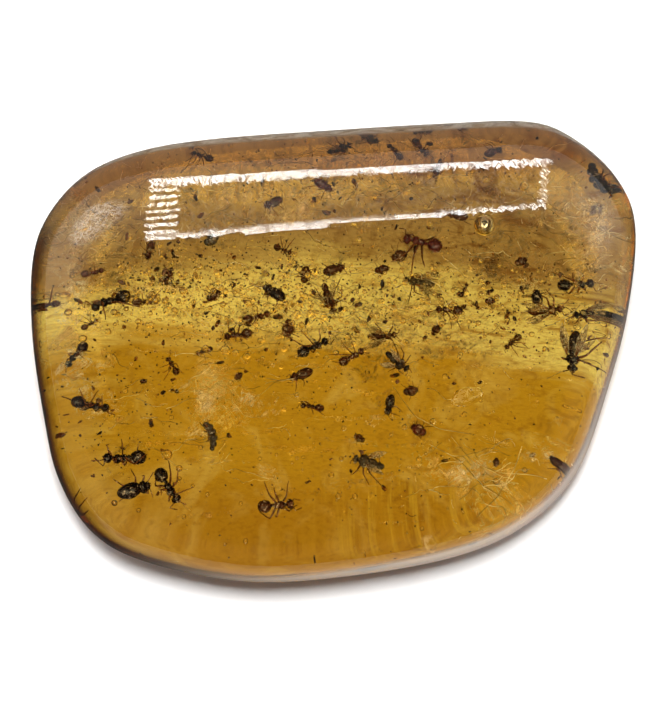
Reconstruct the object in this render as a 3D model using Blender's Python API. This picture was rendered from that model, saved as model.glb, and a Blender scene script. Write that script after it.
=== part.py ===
"""A polished block of copal with insects sealed in it, lying on its flat underside.

The block is a rounded slab: one outline seen from above, with a tight edge round its face, and
a face that rolls down wide at the back. It is parted level in two, because a sealed pocket can't
be one closed solid. Each insect is a solid of its own in a pocket that opens on the parting plane.
Metres, +Z up, +X along the length, +Y towards the wide rolled back edge.
"""

import math

import bmesh
import bpy
import numpy as np
from mathutils import Euler, Matrix, Vector

MM = 0.001

# Driving dimensions of the block
LENGTH = 84.0 * MM
THICKNESS = 26.0 * MM
GIRDLE_HEIGHT = 10.0 * MM  # height of the widest level
BASE_CUT = 1.2 * MM  # how much the underside is ground flat
PARTING_HEIGHT = 15.0 * MM
PARTING_GAP = 0.3 * MM
POCKET_CLEARANCE = 0.35 * MM

# The widest level seen from above, anticlockwise from the right, for a block 84 mm long
OUTLINE = [
    (41.0, 6.0), (42.0, 17.5), (39.2, 24.4), (33.3, 29.8), (27.0, 32.1), (14.8, 31.8), (0.0, 30.9),
    (-16.4, 29.7), (-26.8, 28.0), (-34.5, 24.7), (-39.7, 19.0), (-41.9, 12.5), (-41.9, 2.0),
    (-40.3, -9.0), (-38.2, -17.8), (-33.5, -25.2), (-26.0, -29.3), (-12.0, -32.0), (3.1, -31.1),
    (17.7, -28.3), (27.2, -23.8), (33.9, -16.6), (38.3, -4.6),
]
OUTLINE_LENGTH = 84.0

# Squareness of the section: low is round, high keeps flat to a tight edge
SQUARE_FACE = 5.0
SQUARE_CREASE = 3.5  # added where the edge is sharpest
SQUARE_UNDER = 3.4
# Share of the radius by which the wall draws in from girdle to face, and the way it does so most
WALL_DRAW = 0.022
WALL_DRAW_EXTRA = 0.035
CREASE_AT = math.radians(-50.0)
FACE_SHIFT = -1.2 * MM  # the upper face lies this far towards the front
# The face rolls down behind this line, as a round bar along it would
ROLL_FROM = 2.0 * MM
ROLL_TO = 33.0 * MM
ROLL_SQUARE = 2.4
ROLL_SLOPE = 0.055

RIM_STEPS = 48
LEVEL_STEPS = 16
AROUND_SAMPLES = 720
COPAL_ROUGHNESS = 0.05
COPAL_IOR = 1.54
INSECT_ROUGHNESS = 0.45

COPAL_COLOUR = (0.86, 0.50, 0.07, 1.0)
INSECT_COLOURS = {
    "black": (0.020, 0.014, 0.010, 1.0),
    "brown": (0.090, 0.042, 0.016, 1.0),
    "red": (0.170, 0.040, 0.026, 1.0),
    "grey": (0.120, 0.105, 0.080, 1.0),
}

# Insects of unit length, head towards +X, back towards +Z. The spine is (x, z, radius) from tip
# to tip; a limb is its sections outwards from the body as (x, y, z, half width, half thickness),
# and each limb is repeated on the other side.
SHAPES = {
    "ant": {
        "spine": [
            (0.53, -0.06, 0.0), (0.48, -0.03, 0.098), (0.34, 0.00, 0.140), (0.25, 0.00, 0.048),
            (0.15, 0.02, 0.106), (0.00, 0.01, 0.090), (-0.12, -0.01, 0.036),
            (-0.24, 0.02, 0.157), (-0.42, 0.01, 0.168), (-0.55, -0.03, 0.0),
        ],
        "limbs": [
            [(0.56, 0.16, 0.10, 0.015, 0.015), (0.72, 0.12, 0.02, 0.013, 0.013)],
            [(0.22, 0.28, 0.03, 0.022, 0.022), (0.40, 0.42, -0.20, 0.013, 0.013)],
            [(0.08, 0.33, 0.03, 0.022, 0.022), (0.10, 0.51, -0.22, 0.013, 0.013)],
            [(-0.16, 0.32, 0.03, 0.022, 0.022), (-0.32, 0.46, -0.22, 0.013, 0.013)],
        ],
    },
    "small_ant": {
        "spine": [
            (0.53, -0.05, 0.0), (0.44, -0.02, 0.129), (0.30, 0.00, 0.098), (0.18, 0.02, 0.112),
            (-0.04, 0.01, 0.070), (-0.20, 0.02, 0.161), (-0.40, 0.01, 0.161),
            (-0.54, -0.02, 0.0),
        ],
        "limbs": [
            [(0.64, 0.24, 0.06, 0.018, 0.018)],
            [(0.38, 0.41, -0.10, 0.020, 0.020)],
            [(0.04, 0.49, -0.15, 0.020, 0.020)],
            [(-0.28, 0.44, -0.15, 0.020, 0.020)],
        ],
    },
    "gnat": {
        "spine": [
            (0.50, -0.04, 0.0), (0.44, -0.02, 0.126), (0.32, 0.00, 0.084), (0.20, 0.05, 0.196),
            (0.02, 0.03, 0.168), (-0.24, 0.00, 0.126), (-0.50, -0.04, 0.0),
        ],
        "limbs": [
            [(0.40, 0.41, -0.20, 0.018, 0.018)],
            [(0.00, 0.46, -0.22, 0.018, 0.018)],
            [(0.06, 0.20, 0.25, 0.062, 0.022), (-0.44, 0.39, 0.22, 0.138, 0.020)],
        ],
    },
    "alate": {
        "spine": [
            (0.50, -0.03, 0.0), (0.44, -0.01, 0.105), (0.34, 0.01, 0.070), (0.22, 0.03, 0.133),
            (0.04, 0.01, 0.098), (-0.22, 0.00, 0.133), (-0.50, -0.02, 0.0),
        ],
        "limbs": [
            [(0.62, 0.23, 0.05, 0.015, 0.015)],
            [(0.34, 0.34, -0.15, 0.018, 0.018)],
            [(-0.04, 0.37, -0.18, 0.018, 0.018)],
            [(0.08, 0.15, 0.19, 0.056, 0.020), (-0.60, 0.32, 0.18, 0.125, 0.018)],
        ],
    },
    "beetle": {
        "spine": [
            (0.50, -0.02, 0.0), (0.46, -0.01, 0.133), (0.26, 0.00, 0.189), (-0.06, 0.01, 0.203),
            (-0.38, 0.00, 0.168), (-0.50, -0.02, 0.0),
        ],
        "limbs": [
            [(0.60, 0.29, 0.03, 0.020, 0.020)],
            [(0.42, 0.33, -0.10, 0.025, 0.025)],
            [(0.08, 0.35, -0.15, 0.025, 0.025)],
            [(-0.26, 0.34, -0.15, 0.025, 0.025)],
        ],
    },
    "grub": {
        "spine": [
            (0.50, -0.14, 0.0), (0.44, -0.07, 0.119), (0.26, 0.02, 0.140), (0.02, 0.06, 0.140),
            (-0.26, 0.02, 0.119), (-0.50, -0.14, 0.0),
        ],
        "limbs": [
            [(0.58, 0.24, 0.00, 0.018, 0.018)],
            [(0.20, 0.29, -0.15, 0.022, 0.022)],
            [(-0.10, 0.29, -0.15, 0.022, 0.022)],
        ],
    },
    "mite": {
        "spine": [
            (0.50, -0.03, 0.0), (0.38, 0.00, 0.210), (0.04, 0.03, 0.336), (-0.32, 0.01, 0.224),
            (-0.50, -0.03, 0.0),
        ],
        "limbs": [
            [(0.44, 0.46, -0.10, 0.030, 0.030)],
            [(-0.12, 0.56, -0.15, 0.030, 0.030)],
        ],
    },
}
BODY_SIDES = 6

# Each insect: (name, shape, colour, x, y, height of its middle, length, heading, roll), in mm and
# degrees. Heading is where the head points, seen from above; roll turns it on its long axis.
INSECTS = [
    ("ant_large_left", "ant", "black", -30.2, 5.9, 20.0, 5.0, 198, 75),
    ("ant_beside_large", "small_ant", "brown", -25.6, 5.9, 18.0, 3.3, 2, 60),
    ("ant_left_upper", "ant", "black", -34.4, -1.1, 17.5, 3.6, 232, 70),
    ("ant_left_lower", "ant", "black", -32.6, -8.0, 19.0, 4.6, -16, 80),
    ("ant_on_its_back", "ant", "black", -28.2, -15.2, 19.2, 5.2, 182, 250),
    ("beetle_lower_left", "beetle", "black", -26.9, -19.4, 19.0, 4.2, 14, 25),
    ("ant_below_beetle", "ant", "black", -22.4, -18.9, 18.0, 4.8, -58, 50),
    ("ant_corner_left", "small_ant", "black", -33.1, -20.0, 13.0, 3.2, -20, 60),
    ("grub_curved", "grub", "grey", -16.6, -12.4, 20.5, 3.9, 104, 85),
    ("ant_back_left", "small_ant", "brown", -18.0, 25.0, 14.0, 3.1, 155, 60),
    ("mite_upper_left", "mite", "grey", -16.7, 14.0, 19.0, 2.1, 30, 20),
    ("gnat_left", "gnat", "brown", -22.6, 9.2, 19.0, 2.4, 60, 30),
    ("ant_left_shoulder", "small_ant", "red", -32.5, 9.8, 15.5, 2.7, 10, 70),
    ("ant_left_rim", "small_ant", "brown", -37.4, 5.9, 12.0, 3.2, 3, 60),
    ("gnat_back_middle", "gnat", "black", 0.9, 25.4, 12.0, 3.4, 20, 20),
    ("gnat_back_right", "gnat", "grey", 4.9, 26.2, 9.0, 3.0, -25, 30),
    ("ant_back_right", "small_ant", "brown", 12.1, 26.0, 13.5, 3.3, -55, 40),
    ("beetle_back", "beetle", "red", -1.4, 21.2, 17.0, 2.8, -35, 20),
    ("ant_red_brown", "ant", "red", 12.1, 13.7, 20.5, 5.0, 166, 30),
    ("mite_middle_right", "mite", "brown", 9.0, 12.0, 16.0, 2.2, 20, 20),
    ("beetle_middle", "beetle", "brown", 0.0, 10.2, 17.0, 2.9, 14, 30),
    ("beetle_long_horned", "beetle", "black", -8.1, 7.0, 20.5, 3.3, 148, 40),
    ("gnat_centre", "gnat", "brown", -0.7, 6.6, 13.0, 4.0, -70, 10),
    ("alate_right_upper", "alate", "grey", 11.8, 8.7, 13.5, 4.2, 172, 10),
    ("ant_pair_upper", "small_ant", "brown", -10.6, 3.9, 17.0, 3.6, 14, 65),
    ("ant_pair_lower", "small_ant", "brown", -13.0, 1.4, 19.5, 3.6, 188, 40),
    ("mite_centre_left", "mite", "brown", -6.2, 2.4, 18.0, 2.4, 262, 20),
    ("ant_centre", "ant", "black", -2.8, -0.3, 20.0, 4.2, 24, 60),
    ("beetle_centre_low", "beetle", "brown", -4.4, -4.0, 18.5, 3.1, 200, 30),
    ("ant_centre_right", "small_ant", "brown", 2.4, -1.6, 19.0, 3.6, 28, 60),
    ("gnat_centre_right", "gnat", "black", 8.6, -2.2, 19.5, 3.7, -38, 25),
    ("alate_centre", "alate", "brown", 6.6, 1.6, 12.5, 3.9, 4, 20),
    ("beetle_black", "beetle", "black", 7.6, -8.1, 19.0, 2.7, 256, 20),
    ("mite_beside_black", "mite", "brown", 10.5, -6.2, 17.5, 2.0, 10, 30),
    ("mite_low_right", "mite", "red", 11.6, -11.5, 16.5, 2.2, 150, 10),
    ("gnat_low", "gnat", "grey", 4.8, -16.0, 18.0, 4.2, 164, 16),
    ("ant_bottom", "ant", "brown", -7.8, -21.6, 18.0, 4.5, 4, 30),
    ("ant_front_edge", "small_ant", "grey", 5.3, -26.6, 14.0, 3.2, 205, 50),
    ("grub_right_corner", "grub", "black", 35.2, 21.6, 13.0, 4.6, -56, 60),
    ("ant_right_upper", "ant", "black", 32.6, 8.4, 17.0, 4.2, 4, 50),
    ("mite_right_round", "mite", "black", 27.5, 6.6, 18.0, 1.9, 80, 20),
    ("ant_right_band", "small_ant", "brown", 15.8, 4.8, 18.5, 3.4, 176, 40),
    ("alate_right", "alate", "brown", 28.6, 5.0, 14.0, 4.4, 6, 30),
    ("alate_right_rim", "alate", "black", 34.2, 4.6, 14.0, 4.0, 184, 30),
    ("alate_upright", "alate", "black", 32.2, -0.6, 17.5, 5.4, 262, 20),
    ("ant_right_low", "small_ant", "black", 34.8, -2.6, 12.5, 2.8, -64, 40),
]


def clear_scene():
    for obj in list(bpy.data.objects):
        bpy.data.objects.remove(obj)


def material(name, colour, roughness, transmission=0.0):
    made = bpy.data.materials.new(name)
    made.use_nodes = True
    shader = made.node_tree.nodes["Principled BSDF"]
    shader.inputs["Base Color"].default_value = colour
    shader.inputs["Roughness"].default_value = roughness
    shader.inputs["Metallic"].default_value = 0.0
    shader.inputs["Transmission Weight"].default_value = transmission
    shader.inputs["IOR"].default_value = COPAL_IOR
    return made


def collection(name):
    made = bpy.data.collections.new(name)
    bpy.context.scene.collection.children.link(made)
    return made


def outline_radius():
    """Angles and radii of the smooth closed curve through OUTLINE, for numpy.interp."""
    points = np.array(OUTLINE) * (LENGTH / OUTLINE_LENGTH)
    count = len(points)
    per_span = AROUND_SAMPLES // count + 1
    curve = []
    for i in range(count):
        a, b, c, d = (points[(i + k) % count] for k in (-1, 0, 1, 2))
        for t in np.arange(per_span) / per_span:
            curve.append(
                0.5 * (2 * b + (c - a) * t + (2 * a - 5 * b + 4 * c - d) * t**2
                       + (3 * b - a - 3 * c + d) * t**3)
            )
    curve = np.array(curve)
    angles = np.arctan2(curve[:, 1], curve[:, 0])
    order = np.argsort(angles)
    return angles[order], np.hypot(curve[:, 0], curve[:, 1])[order]


def block_point(direction, angles, radii):
    """The block's surface point, in metres, that a unit sphere's point is moved to."""
    theta = math.atan2(direction.y, direction.x)
    radius = float(np.interp(theta, angles, radii, period=2 * math.pi))
    level = max(-1.0, min(1.0, direction.z))
    ring = math.sqrt(1.0 - level * level)
    if level < 0:
        across = radius * ring ** (2.0 / SQUARE_UNDER)
        fall = (GIRDLE_HEIGHT + BASE_CUT) * abs(level) ** (2.0 / SQUARE_UNDER)
        return Vector((across * math.cos(theta), across * math.sin(theta), GIRDLE_HEIGHT - fall))
    crease = max(0.0, math.cos(theta - CREASE_AT)) ** 2
    square = SQUARE_FACE + SQUARE_CREASE * crease
    up = level ** (2.0 / square)
    reach = radius * ring ** (2.0 / square) * (1.0 - (WALL_DRAW + WALL_DRAW_EXTRA * crease) * up)
    x, y = reach * math.cos(theta), reach * math.sin(theta) + FACE_SHIFT * up**2
    behind = (y - ROLL_SLOPE * x - ROLL_FROM) / (ROLL_TO - ROLL_FROM)
    roll = (1.0 - max(0.0, behind) ** ROLL_SQUARE) ** (1.0 / ROLL_SQUARE)
    return Vector((x, y, GIRDLE_HEIGHT + (THICKNESS - GIRDLE_HEIGHT) * up * roll))


def slab(source, name, low, high):
    """The part of a closed mesh between two heights, with flat faces where it is cut."""
    made = bmesh.new()
    made.from_mesh(source)
    for height, normal in ((low, (0, 0, -1)), (high, (0, 0, 1))):
        if height is None:
            continue
        everything = made.verts[:] + made.edges[:] + made.faces[:]
        cut = bmesh.ops.bisect_plane(
            made, geom=everything, dist=1e-7, plane_co=(0, 0, height), plane_no=normal,
            clear_outer=True,
        )
        rim = [e for e in cut["geom_cut"] if isinstance(e, bmesh.types.BMEdge)]
        bmesh.ops.contextual_create(made, geom=rim)
    bmesh.ops.recalc_face_normals(made, faces=made.faces[:])
    mesh = bpy.data.meshes.new(name)
    made.to_mesh(mesh)
    made.free()
    return bpy.data.objects.new(name, mesh)


def block_mesh():
    """The whole block as one closed mesh, before its underside is ground flat."""
    bpy.ops.mesh.primitive_uv_sphere_add(segments=RIM_STEPS, ring_count=LEVEL_STEPS, radius=1.0)
    ball = bpy.context.object
    angles, radii = outline_radius()
    for vertex in ball.data.vertices:
        vertex.co = block_point(vertex.co, angles, radii)
    mesh = ball.data.copy()
    bpy.data.objects.remove(ball)
    return mesh


def extend(mesh, face, centre, wide, thick):
    """Extrude a four-sided face of a body into a limb's next section, which is returned."""
    start = face.calc_center_median()
    along = (centre - start).normalized()
    side = along.cross(Vector((0.0, 0.0, 1.0))).normalized()
    up = side.cross(along)
    section = bmesh.ops.extrude_discrete_faces(mesh, faces=[face])["faces"][0]
    first = section.verts[0].co - start
    quarter = round((math.atan2(first.dot(side), first.dot(up)) - math.pi / 4) / (math.pi / 2))
    for i, vertex in enumerate(section.verts):
        turn = math.pi / 4 + (quarter + i) * math.pi / 2
        offset = up * math.copysign(thick, math.cos(turn)) + side * math.copysign(wide, math.sin(turn))
        vertex.co = centre + offset
    return section


def insect_mesh(shape):
    """A closed insect of unit length: a sphere drawn out along the spine, with extruded limbs."""
    spine = SHAPES[shape]["spine"]
    made = bmesh.new()
    bmesh.ops.create_uvsphere(
        made, u_segments=BODY_SIDES, v_segments=len(spine) - 1, radius=1.0
    )
    for vertex in made.verts:
        level = round(math.acos(max(-1.0, min(1.0, vertex.co.z))) / math.pi * (len(spine) - 1))
        x, z, radius = spine[level]
        around = math.atan2(vertex.co.y, vertex.co.x) + math.pi / BODY_SIDES
        vertex.co = (x, radius * math.cos(around), z + radius * math.sin(around))
    body = [face for face in made.faces if len(face.verts) == 4]
    for limb in SHAPES[shape]["limbs"]:
        for side in (1, -1):
            root = Vector((limb[0][0], side * limb[0][1], limb[0][2]))
            free = [face for face in body if face.is_valid]
            face = min(free, key=lambda near: (near.calc_center_median() - root).length)
            for x, y, z, wide, thick in limb:
                face = extend(made, face, Vector((x, side * y, z)), wide, thick)
    mesh = bpy.data.meshes.new(shape)
    made.to_mesh(mesh)
    made.free()
    return mesh


def insect(name, shape, skin, x, y, height, length, heading, roll):
    """One insect in its place, at its real size."""
    mesh = insect_mesh(shape)
    turn = Euler((math.radians(roll), 0.0, 0.0)).to_matrix().to_4x4()
    mesh.transform(turn @ Matrix.Scale(length * MM, 4))
    mesh.materials.append(skin)
    obj = bpy.data.objects.new(name, mesh)
    obj.location = (x * MM, y * MM, height * MM)
    obj.rotation_euler = (0.0, 0.0, math.radians(heading))
    return obj


def pocket(creature):
    """A box around an insect, in the insect's own frame, that reaches to the parting plane."""
    corners = np.array([vertex.co for vertex in creature.data.vertices])
    low = corners.min(axis=0) - POCKET_CLEARANCE
    high = corners.max(axis=0) + POCKET_CLEARANCE
    parting = PARTING_HEIGHT - creature.location.z
    low[2] = min(low[2], parting)
    high[2] = max(high[2], parting)
    cube = bmesh.new()
    bmesh.ops.create_cube(cube, size=1.0)
    mesh = bpy.data.meshes.new(creature.name + "_pocket")
    cube.to_mesh(mesh)
    cube.free()
    centre = Vector((low + high) / 2)
    mesh.transform(Matrix.Translation(centre) @ Matrix.Diagonal((*(high - low), 1.0)))
    box = bpy.data.objects.new(mesh.name, mesh)
    box.location = creature.location
    box.rotation_euler = creature.rotation_euler
    box.hide_render = True
    box.display_type = "WIRE"
    return box


def main():
    clear_scene()
    home = collection("insect_in_copal")
    cutters = collection("pocket_cutters")
    cutters.hide_render = True

    copal = material("copal", COPAL_COLOUR, COPAL_ROUGHNESS, transmission=1.0)
    skins = {
        name: material(f"{name}_insect", colour, INSECT_ROUGHNESS)
        for name, colour in INSECT_COLOURS.items()
    }

    whole = block_mesh()
    halves = [
        slab(whole, "copal_lower", 0.0, PARTING_HEIGHT - PARTING_GAP / 2),
        slab(whole, "copal_upper", PARTING_HEIGHT + PARTING_GAP / 2, None),
    ]
    for name, shape, colour, *placing in INSECTS:
        creature = insect(name, shape, skins[colour], *placing)
        home.objects.link(creature)
        cutters.objects.link(pocket(creature))
    for half in halves:
        half.data.materials.append(copal)
        home.objects.link(half)
        cut = half.modifiers.new("Pockets", "BOOLEAN")
        cut.operation = "DIFFERENCE"
        cut.operand_type = "COLLECTION"
        cut.collection = cutters
        cut.solver = "EXACT"


main()
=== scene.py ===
"""Looks of a polished slab of copal with insects sealed in it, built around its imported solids.

The clear block, its bubbles and cracks, the insects, the specks, threads and veils are each made
by one operator. Lengths in tables are millimetres, and everything that is built is in metres.
"""

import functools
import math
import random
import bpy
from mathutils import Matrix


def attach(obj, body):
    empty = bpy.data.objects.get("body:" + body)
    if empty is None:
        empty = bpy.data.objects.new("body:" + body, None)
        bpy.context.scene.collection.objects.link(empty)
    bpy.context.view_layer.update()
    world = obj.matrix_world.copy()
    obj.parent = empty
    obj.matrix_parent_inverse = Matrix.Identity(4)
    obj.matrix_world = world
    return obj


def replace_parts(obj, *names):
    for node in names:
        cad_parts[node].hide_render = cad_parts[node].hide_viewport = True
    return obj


bl_info = {
    "name": "Insect in Copal",
    "version": (1, 0, 0),
    "blender": (4, 5, 0),
    "location": "View3D > Sidebar > Copal",
    "description": "Builds a slab of clear copal with sealed insects, and the table it lies on",
    "category": "Add Mesh",
}

import bpy
import numpy as np
from bpy.props import FloatProperty, FloatVectorProperty, IntProperty, PointerProperty
from mathutils import Euler, Matrix, Vector, noise
from mathutils.bvhtree import BVHTree

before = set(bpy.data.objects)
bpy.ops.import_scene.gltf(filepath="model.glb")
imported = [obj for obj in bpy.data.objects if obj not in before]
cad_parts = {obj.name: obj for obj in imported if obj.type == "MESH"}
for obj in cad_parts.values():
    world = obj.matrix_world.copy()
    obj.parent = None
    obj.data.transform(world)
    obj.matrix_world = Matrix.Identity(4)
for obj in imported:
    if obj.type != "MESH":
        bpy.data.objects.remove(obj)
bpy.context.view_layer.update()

MM = 0.001
BODY = "root"

# ---------------------------------------------------------------- the block's form

LENGTH = 84.0 * MM
THICKNESS = 26.0 * MM
GIRDLE_HEIGHT = 10.0 * MM  # height of the widest level
BASE_CUT = 1.2 * MM  # how much the underside is ground flat

# The widest level seen from above, anticlockwise from the right, for a block 84 mm long
OUTLINE = [
    (41.0, 6.0), (42.0, 17.5), (39.2, 24.4), (33.3, 29.8), (27.0, 32.1), (14.8, 31.8), (0.0, 30.9),
    (-16.4, 29.7), (-26.8, 28.0), (-34.5, 24.7), (-39.7, 19.0), (-41.9, 12.5), (-41.9, 2.0),
    (-40.3, -9.0), (-38.2, -17.8), (-33.5, -25.2), (-26.0, -29.3), (-12.0, -32.0), (3.1, -31.1),
    (17.7, -28.3), (27.2, -23.8), (33.9, -16.6), (38.3, -4.6),
]
OUTLINE_LENGTH = 84.0
AROUND_SAMPLES = 720  # points on the smooth curve through it

# Powers of the section's curves: 2 is round, and more is squarer
SQUARE_FACE = 5.0
SQUARE_CREASE = 3.5  # added where the edge is sharpest
SQUARE_UNDER = 3.4
WALL_DRAW = 0.022  # how far the wall leans in at the top, as a share of the outline
WALL_DRAW_EXTRA = 0.035  # added where the edge is sharpest
CREASE_AT = math.radians(-50.0)  # the way from the middle to the sharpest edge
FACE_SHIFT = -1.2 * MM  # moves the top of the face forward
ROLL_FROM = 2.0 * MM  # from here back, the face rolls down
ROLL_TO = 33.0 * MM  # here it would be down to the widest level
ROLL_SQUARE = 2.4
ROLL_SLOPE = 0.055  # how much further back the roll lies to the right, per length

# Rings and steps of the skin's mesh
RIM_STEPS = 240
UPPER_STEPS = 100
LOWER_STEPS = 26
CREASE = math.radians(40.0)  # where two faces meet sharper than this, an edge shows
RING_CROWDING = 1.5  # draws the rings towards the bend between the wall and the face

# The weathered crust under the back wall
RIND_INSET = 0.996
RIND_DEPTH = 0.15 * MM
RIND_SPAN = (10.4, 19.5, 4.0)  # lowest and highest level, and how far forward it runs, in mm
RIND_FOOT = (10.4, 12.0)  # levels over which it fades in
RIND_FRONT = (6.0, 15.0)  # depths over which it fades in
RIND_TOP = (16.6, 17.6)  # levels over which it fades out

# How strongly the walls of bubbles and cracks bend light: less than the resin, for thin rims
WALL_IOR = 1.28

# ---------------------------------------------------------------- the insects

# Each insect: (name, shape, colour, x, y, height of its middle, length, heading, roll), in mm and
# degrees. Heading is where the head points, seen from above; roll turns it on its long axis.
INSECTS = [
    ("ant_large_left", "ant", "black", -30.2, 5.9, 20.0, 5.0, 198, 75),
    ("ant_beside_large", "small_ant", "brown", -25.6, 5.9, 18.0, 3.3, 2, 60),
    ("ant_left_upper", "ant", "black", -34.4, -1.1, 17.5, 3.6, 232, 70),
    ("ant_left_lower", "ant", "black", -32.6, -8.0, 19.0, 4.6, -16, 80),
    ("ant_on_its_back", "ant", "black", -28.2, -15.2, 19.2, 5.2, 182, 250),
    ("beetle_lower_left", "beetle", "black", -26.9, -19.4, 19.0, 4.2, 14, 25),
    ("ant_below_beetle", "ant", "black", -22.4, -18.9, 18.0, 4.8, -58, 50),
    ("ant_corner_left", "small_ant", "black", -33.1, -20.0, 13.0, 3.2, -20, 60),
    ("grub_curved", "grub", "grey", -16.6, -12.4, 20.5, 3.9, 104, 85),
    ("ant_back_left", "small_ant", "brown", -18.0, 25.0, 14.0, 3.1, 155, 60),
    ("mite_upper_left", "mite", "grey", -16.7, 14.0, 19.0, 2.1, 30, 20),
    ("gnat_left", "gnat", "brown", -22.6, 9.2, 19.0, 2.4, 60, 30),
    ("ant_left_shoulder", "small_ant", "red", -32.5, 9.8, 15.5, 2.7, 10, 70),
    ("ant_left_rim", "small_ant", "brown", -37.4, 5.9, 12.0, 3.2, 3, 60),
    ("gnat_back_middle", "gnat", "black", 0.9, 25.4, 12.0, 3.4, 20, 20),
    ("gnat_back_right", "gnat", "grey", 4.9, 26.2, 9.0, 3.0, -25, 30),
    ("ant_back_right", "small_ant", "brown", 12.1, 26.0, 13.5, 3.3, -55, 40),
    ("beetle_back", "beetle", "red", -1.4, 21.2, 17.0, 2.8, -35, 20),
    ("ant_red_brown", "ant", "red", 12.1, 13.7, 20.5, 5.0, 166, 30),
    ("mite_middle_right", "mite", "brown", 9.0, 12.0, 16.0, 2.2, 20, 20),
    ("beetle_middle", "beetle", "brown", 0.0, 10.2, 17.0, 2.9, 14, 30),
    ("beetle_long_horned", "beetle", "black", -8.1, 7.0, 20.5, 3.3, 148, 40),
    ("gnat_centre", "gnat", "brown", -0.7, 6.6, 13.0, 4.0, -70, 10),
    ("alate_right_upper", "alate", "grey", 11.8, 8.7, 13.5, 4.2, 172, 10),
    ("ant_pair_upper", "small_ant", "brown", -10.6, 3.9, 17.0, 3.6, 14, 65),
    ("ant_pair_lower", "small_ant", "brown", -13.0, 1.4, 19.5, 3.6, 188, 40),
    ("mite_centre_left", "mite", "brown", -6.2, 2.4, 18.0, 2.4, 262, 20),
    ("ant_centre", "ant", "black", -2.8, -0.3, 20.0, 4.2, 24, 60),
    ("beetle_centre_low", "beetle", "brown", -4.4, -4.0, 18.5, 3.1, 200, 30),
    ("ant_centre_right", "small_ant", "brown", 2.4, -1.6, 19.0, 3.6, 28, 60),
    ("gnat_centre_right", "gnat", "black", 8.6, -2.2, 19.5, 3.7, -38, 25),
    ("alate_centre", "alate", "brown", 6.6, 1.6, 12.5, 3.9, 4, 20),
    ("beetle_black", "beetle", "black", 7.6, -8.1, 19.0, 2.7, 256, 20),
    ("mite_beside_black", "mite", "brown", 10.5, -6.2, 17.5, 2.0, 10, 30),
    ("mite_low_right", "mite", "red", 11.6, -11.5, 16.5, 2.2, 150, 10),
    ("gnat_low", "gnat", "grey", 4.8, -16.0, 18.0, 4.2, 164, 16),
    ("ant_bottom", "ant", "brown", -7.8, -21.6, 18.0, 4.5, 4, 30),
    ("ant_front_edge", "small_ant", "grey", 5.3, -26.6, 14.0, 3.2, 205, 50),
    ("grub_right_corner", "grub", "black", 35.2, 21.6, 13.0, 4.6, -56, 60),
    ("ant_right_upper", "ant", "black", 32.6, 8.4, 17.0, 4.2, 4, 50),
    ("mite_right_round", "mite", "black", 27.5, 6.6, 18.0, 1.9, 80, 20),
    ("ant_right_band", "small_ant", "brown", 15.8, 4.8, 18.5, 3.4, 176, 40),
    ("alate_right", "alate", "brown", 28.6, 5.0, 14.0, 4.4, 6, 30),
    ("alate_right_rim", "alate", "black", 34.2, 4.6, 14.0, 4.0, 184, 30),
    ("alate_upright", "alate", "black", 32.2, -0.6, 17.5, 5.4, 262, 20),
    ("ant_right_low", "small_ant", "black", 34.8, -2.6, 12.5, 2.8, -64, 40),
]
COPAL_NODES = ("copal_lower", "copal_upper")

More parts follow.
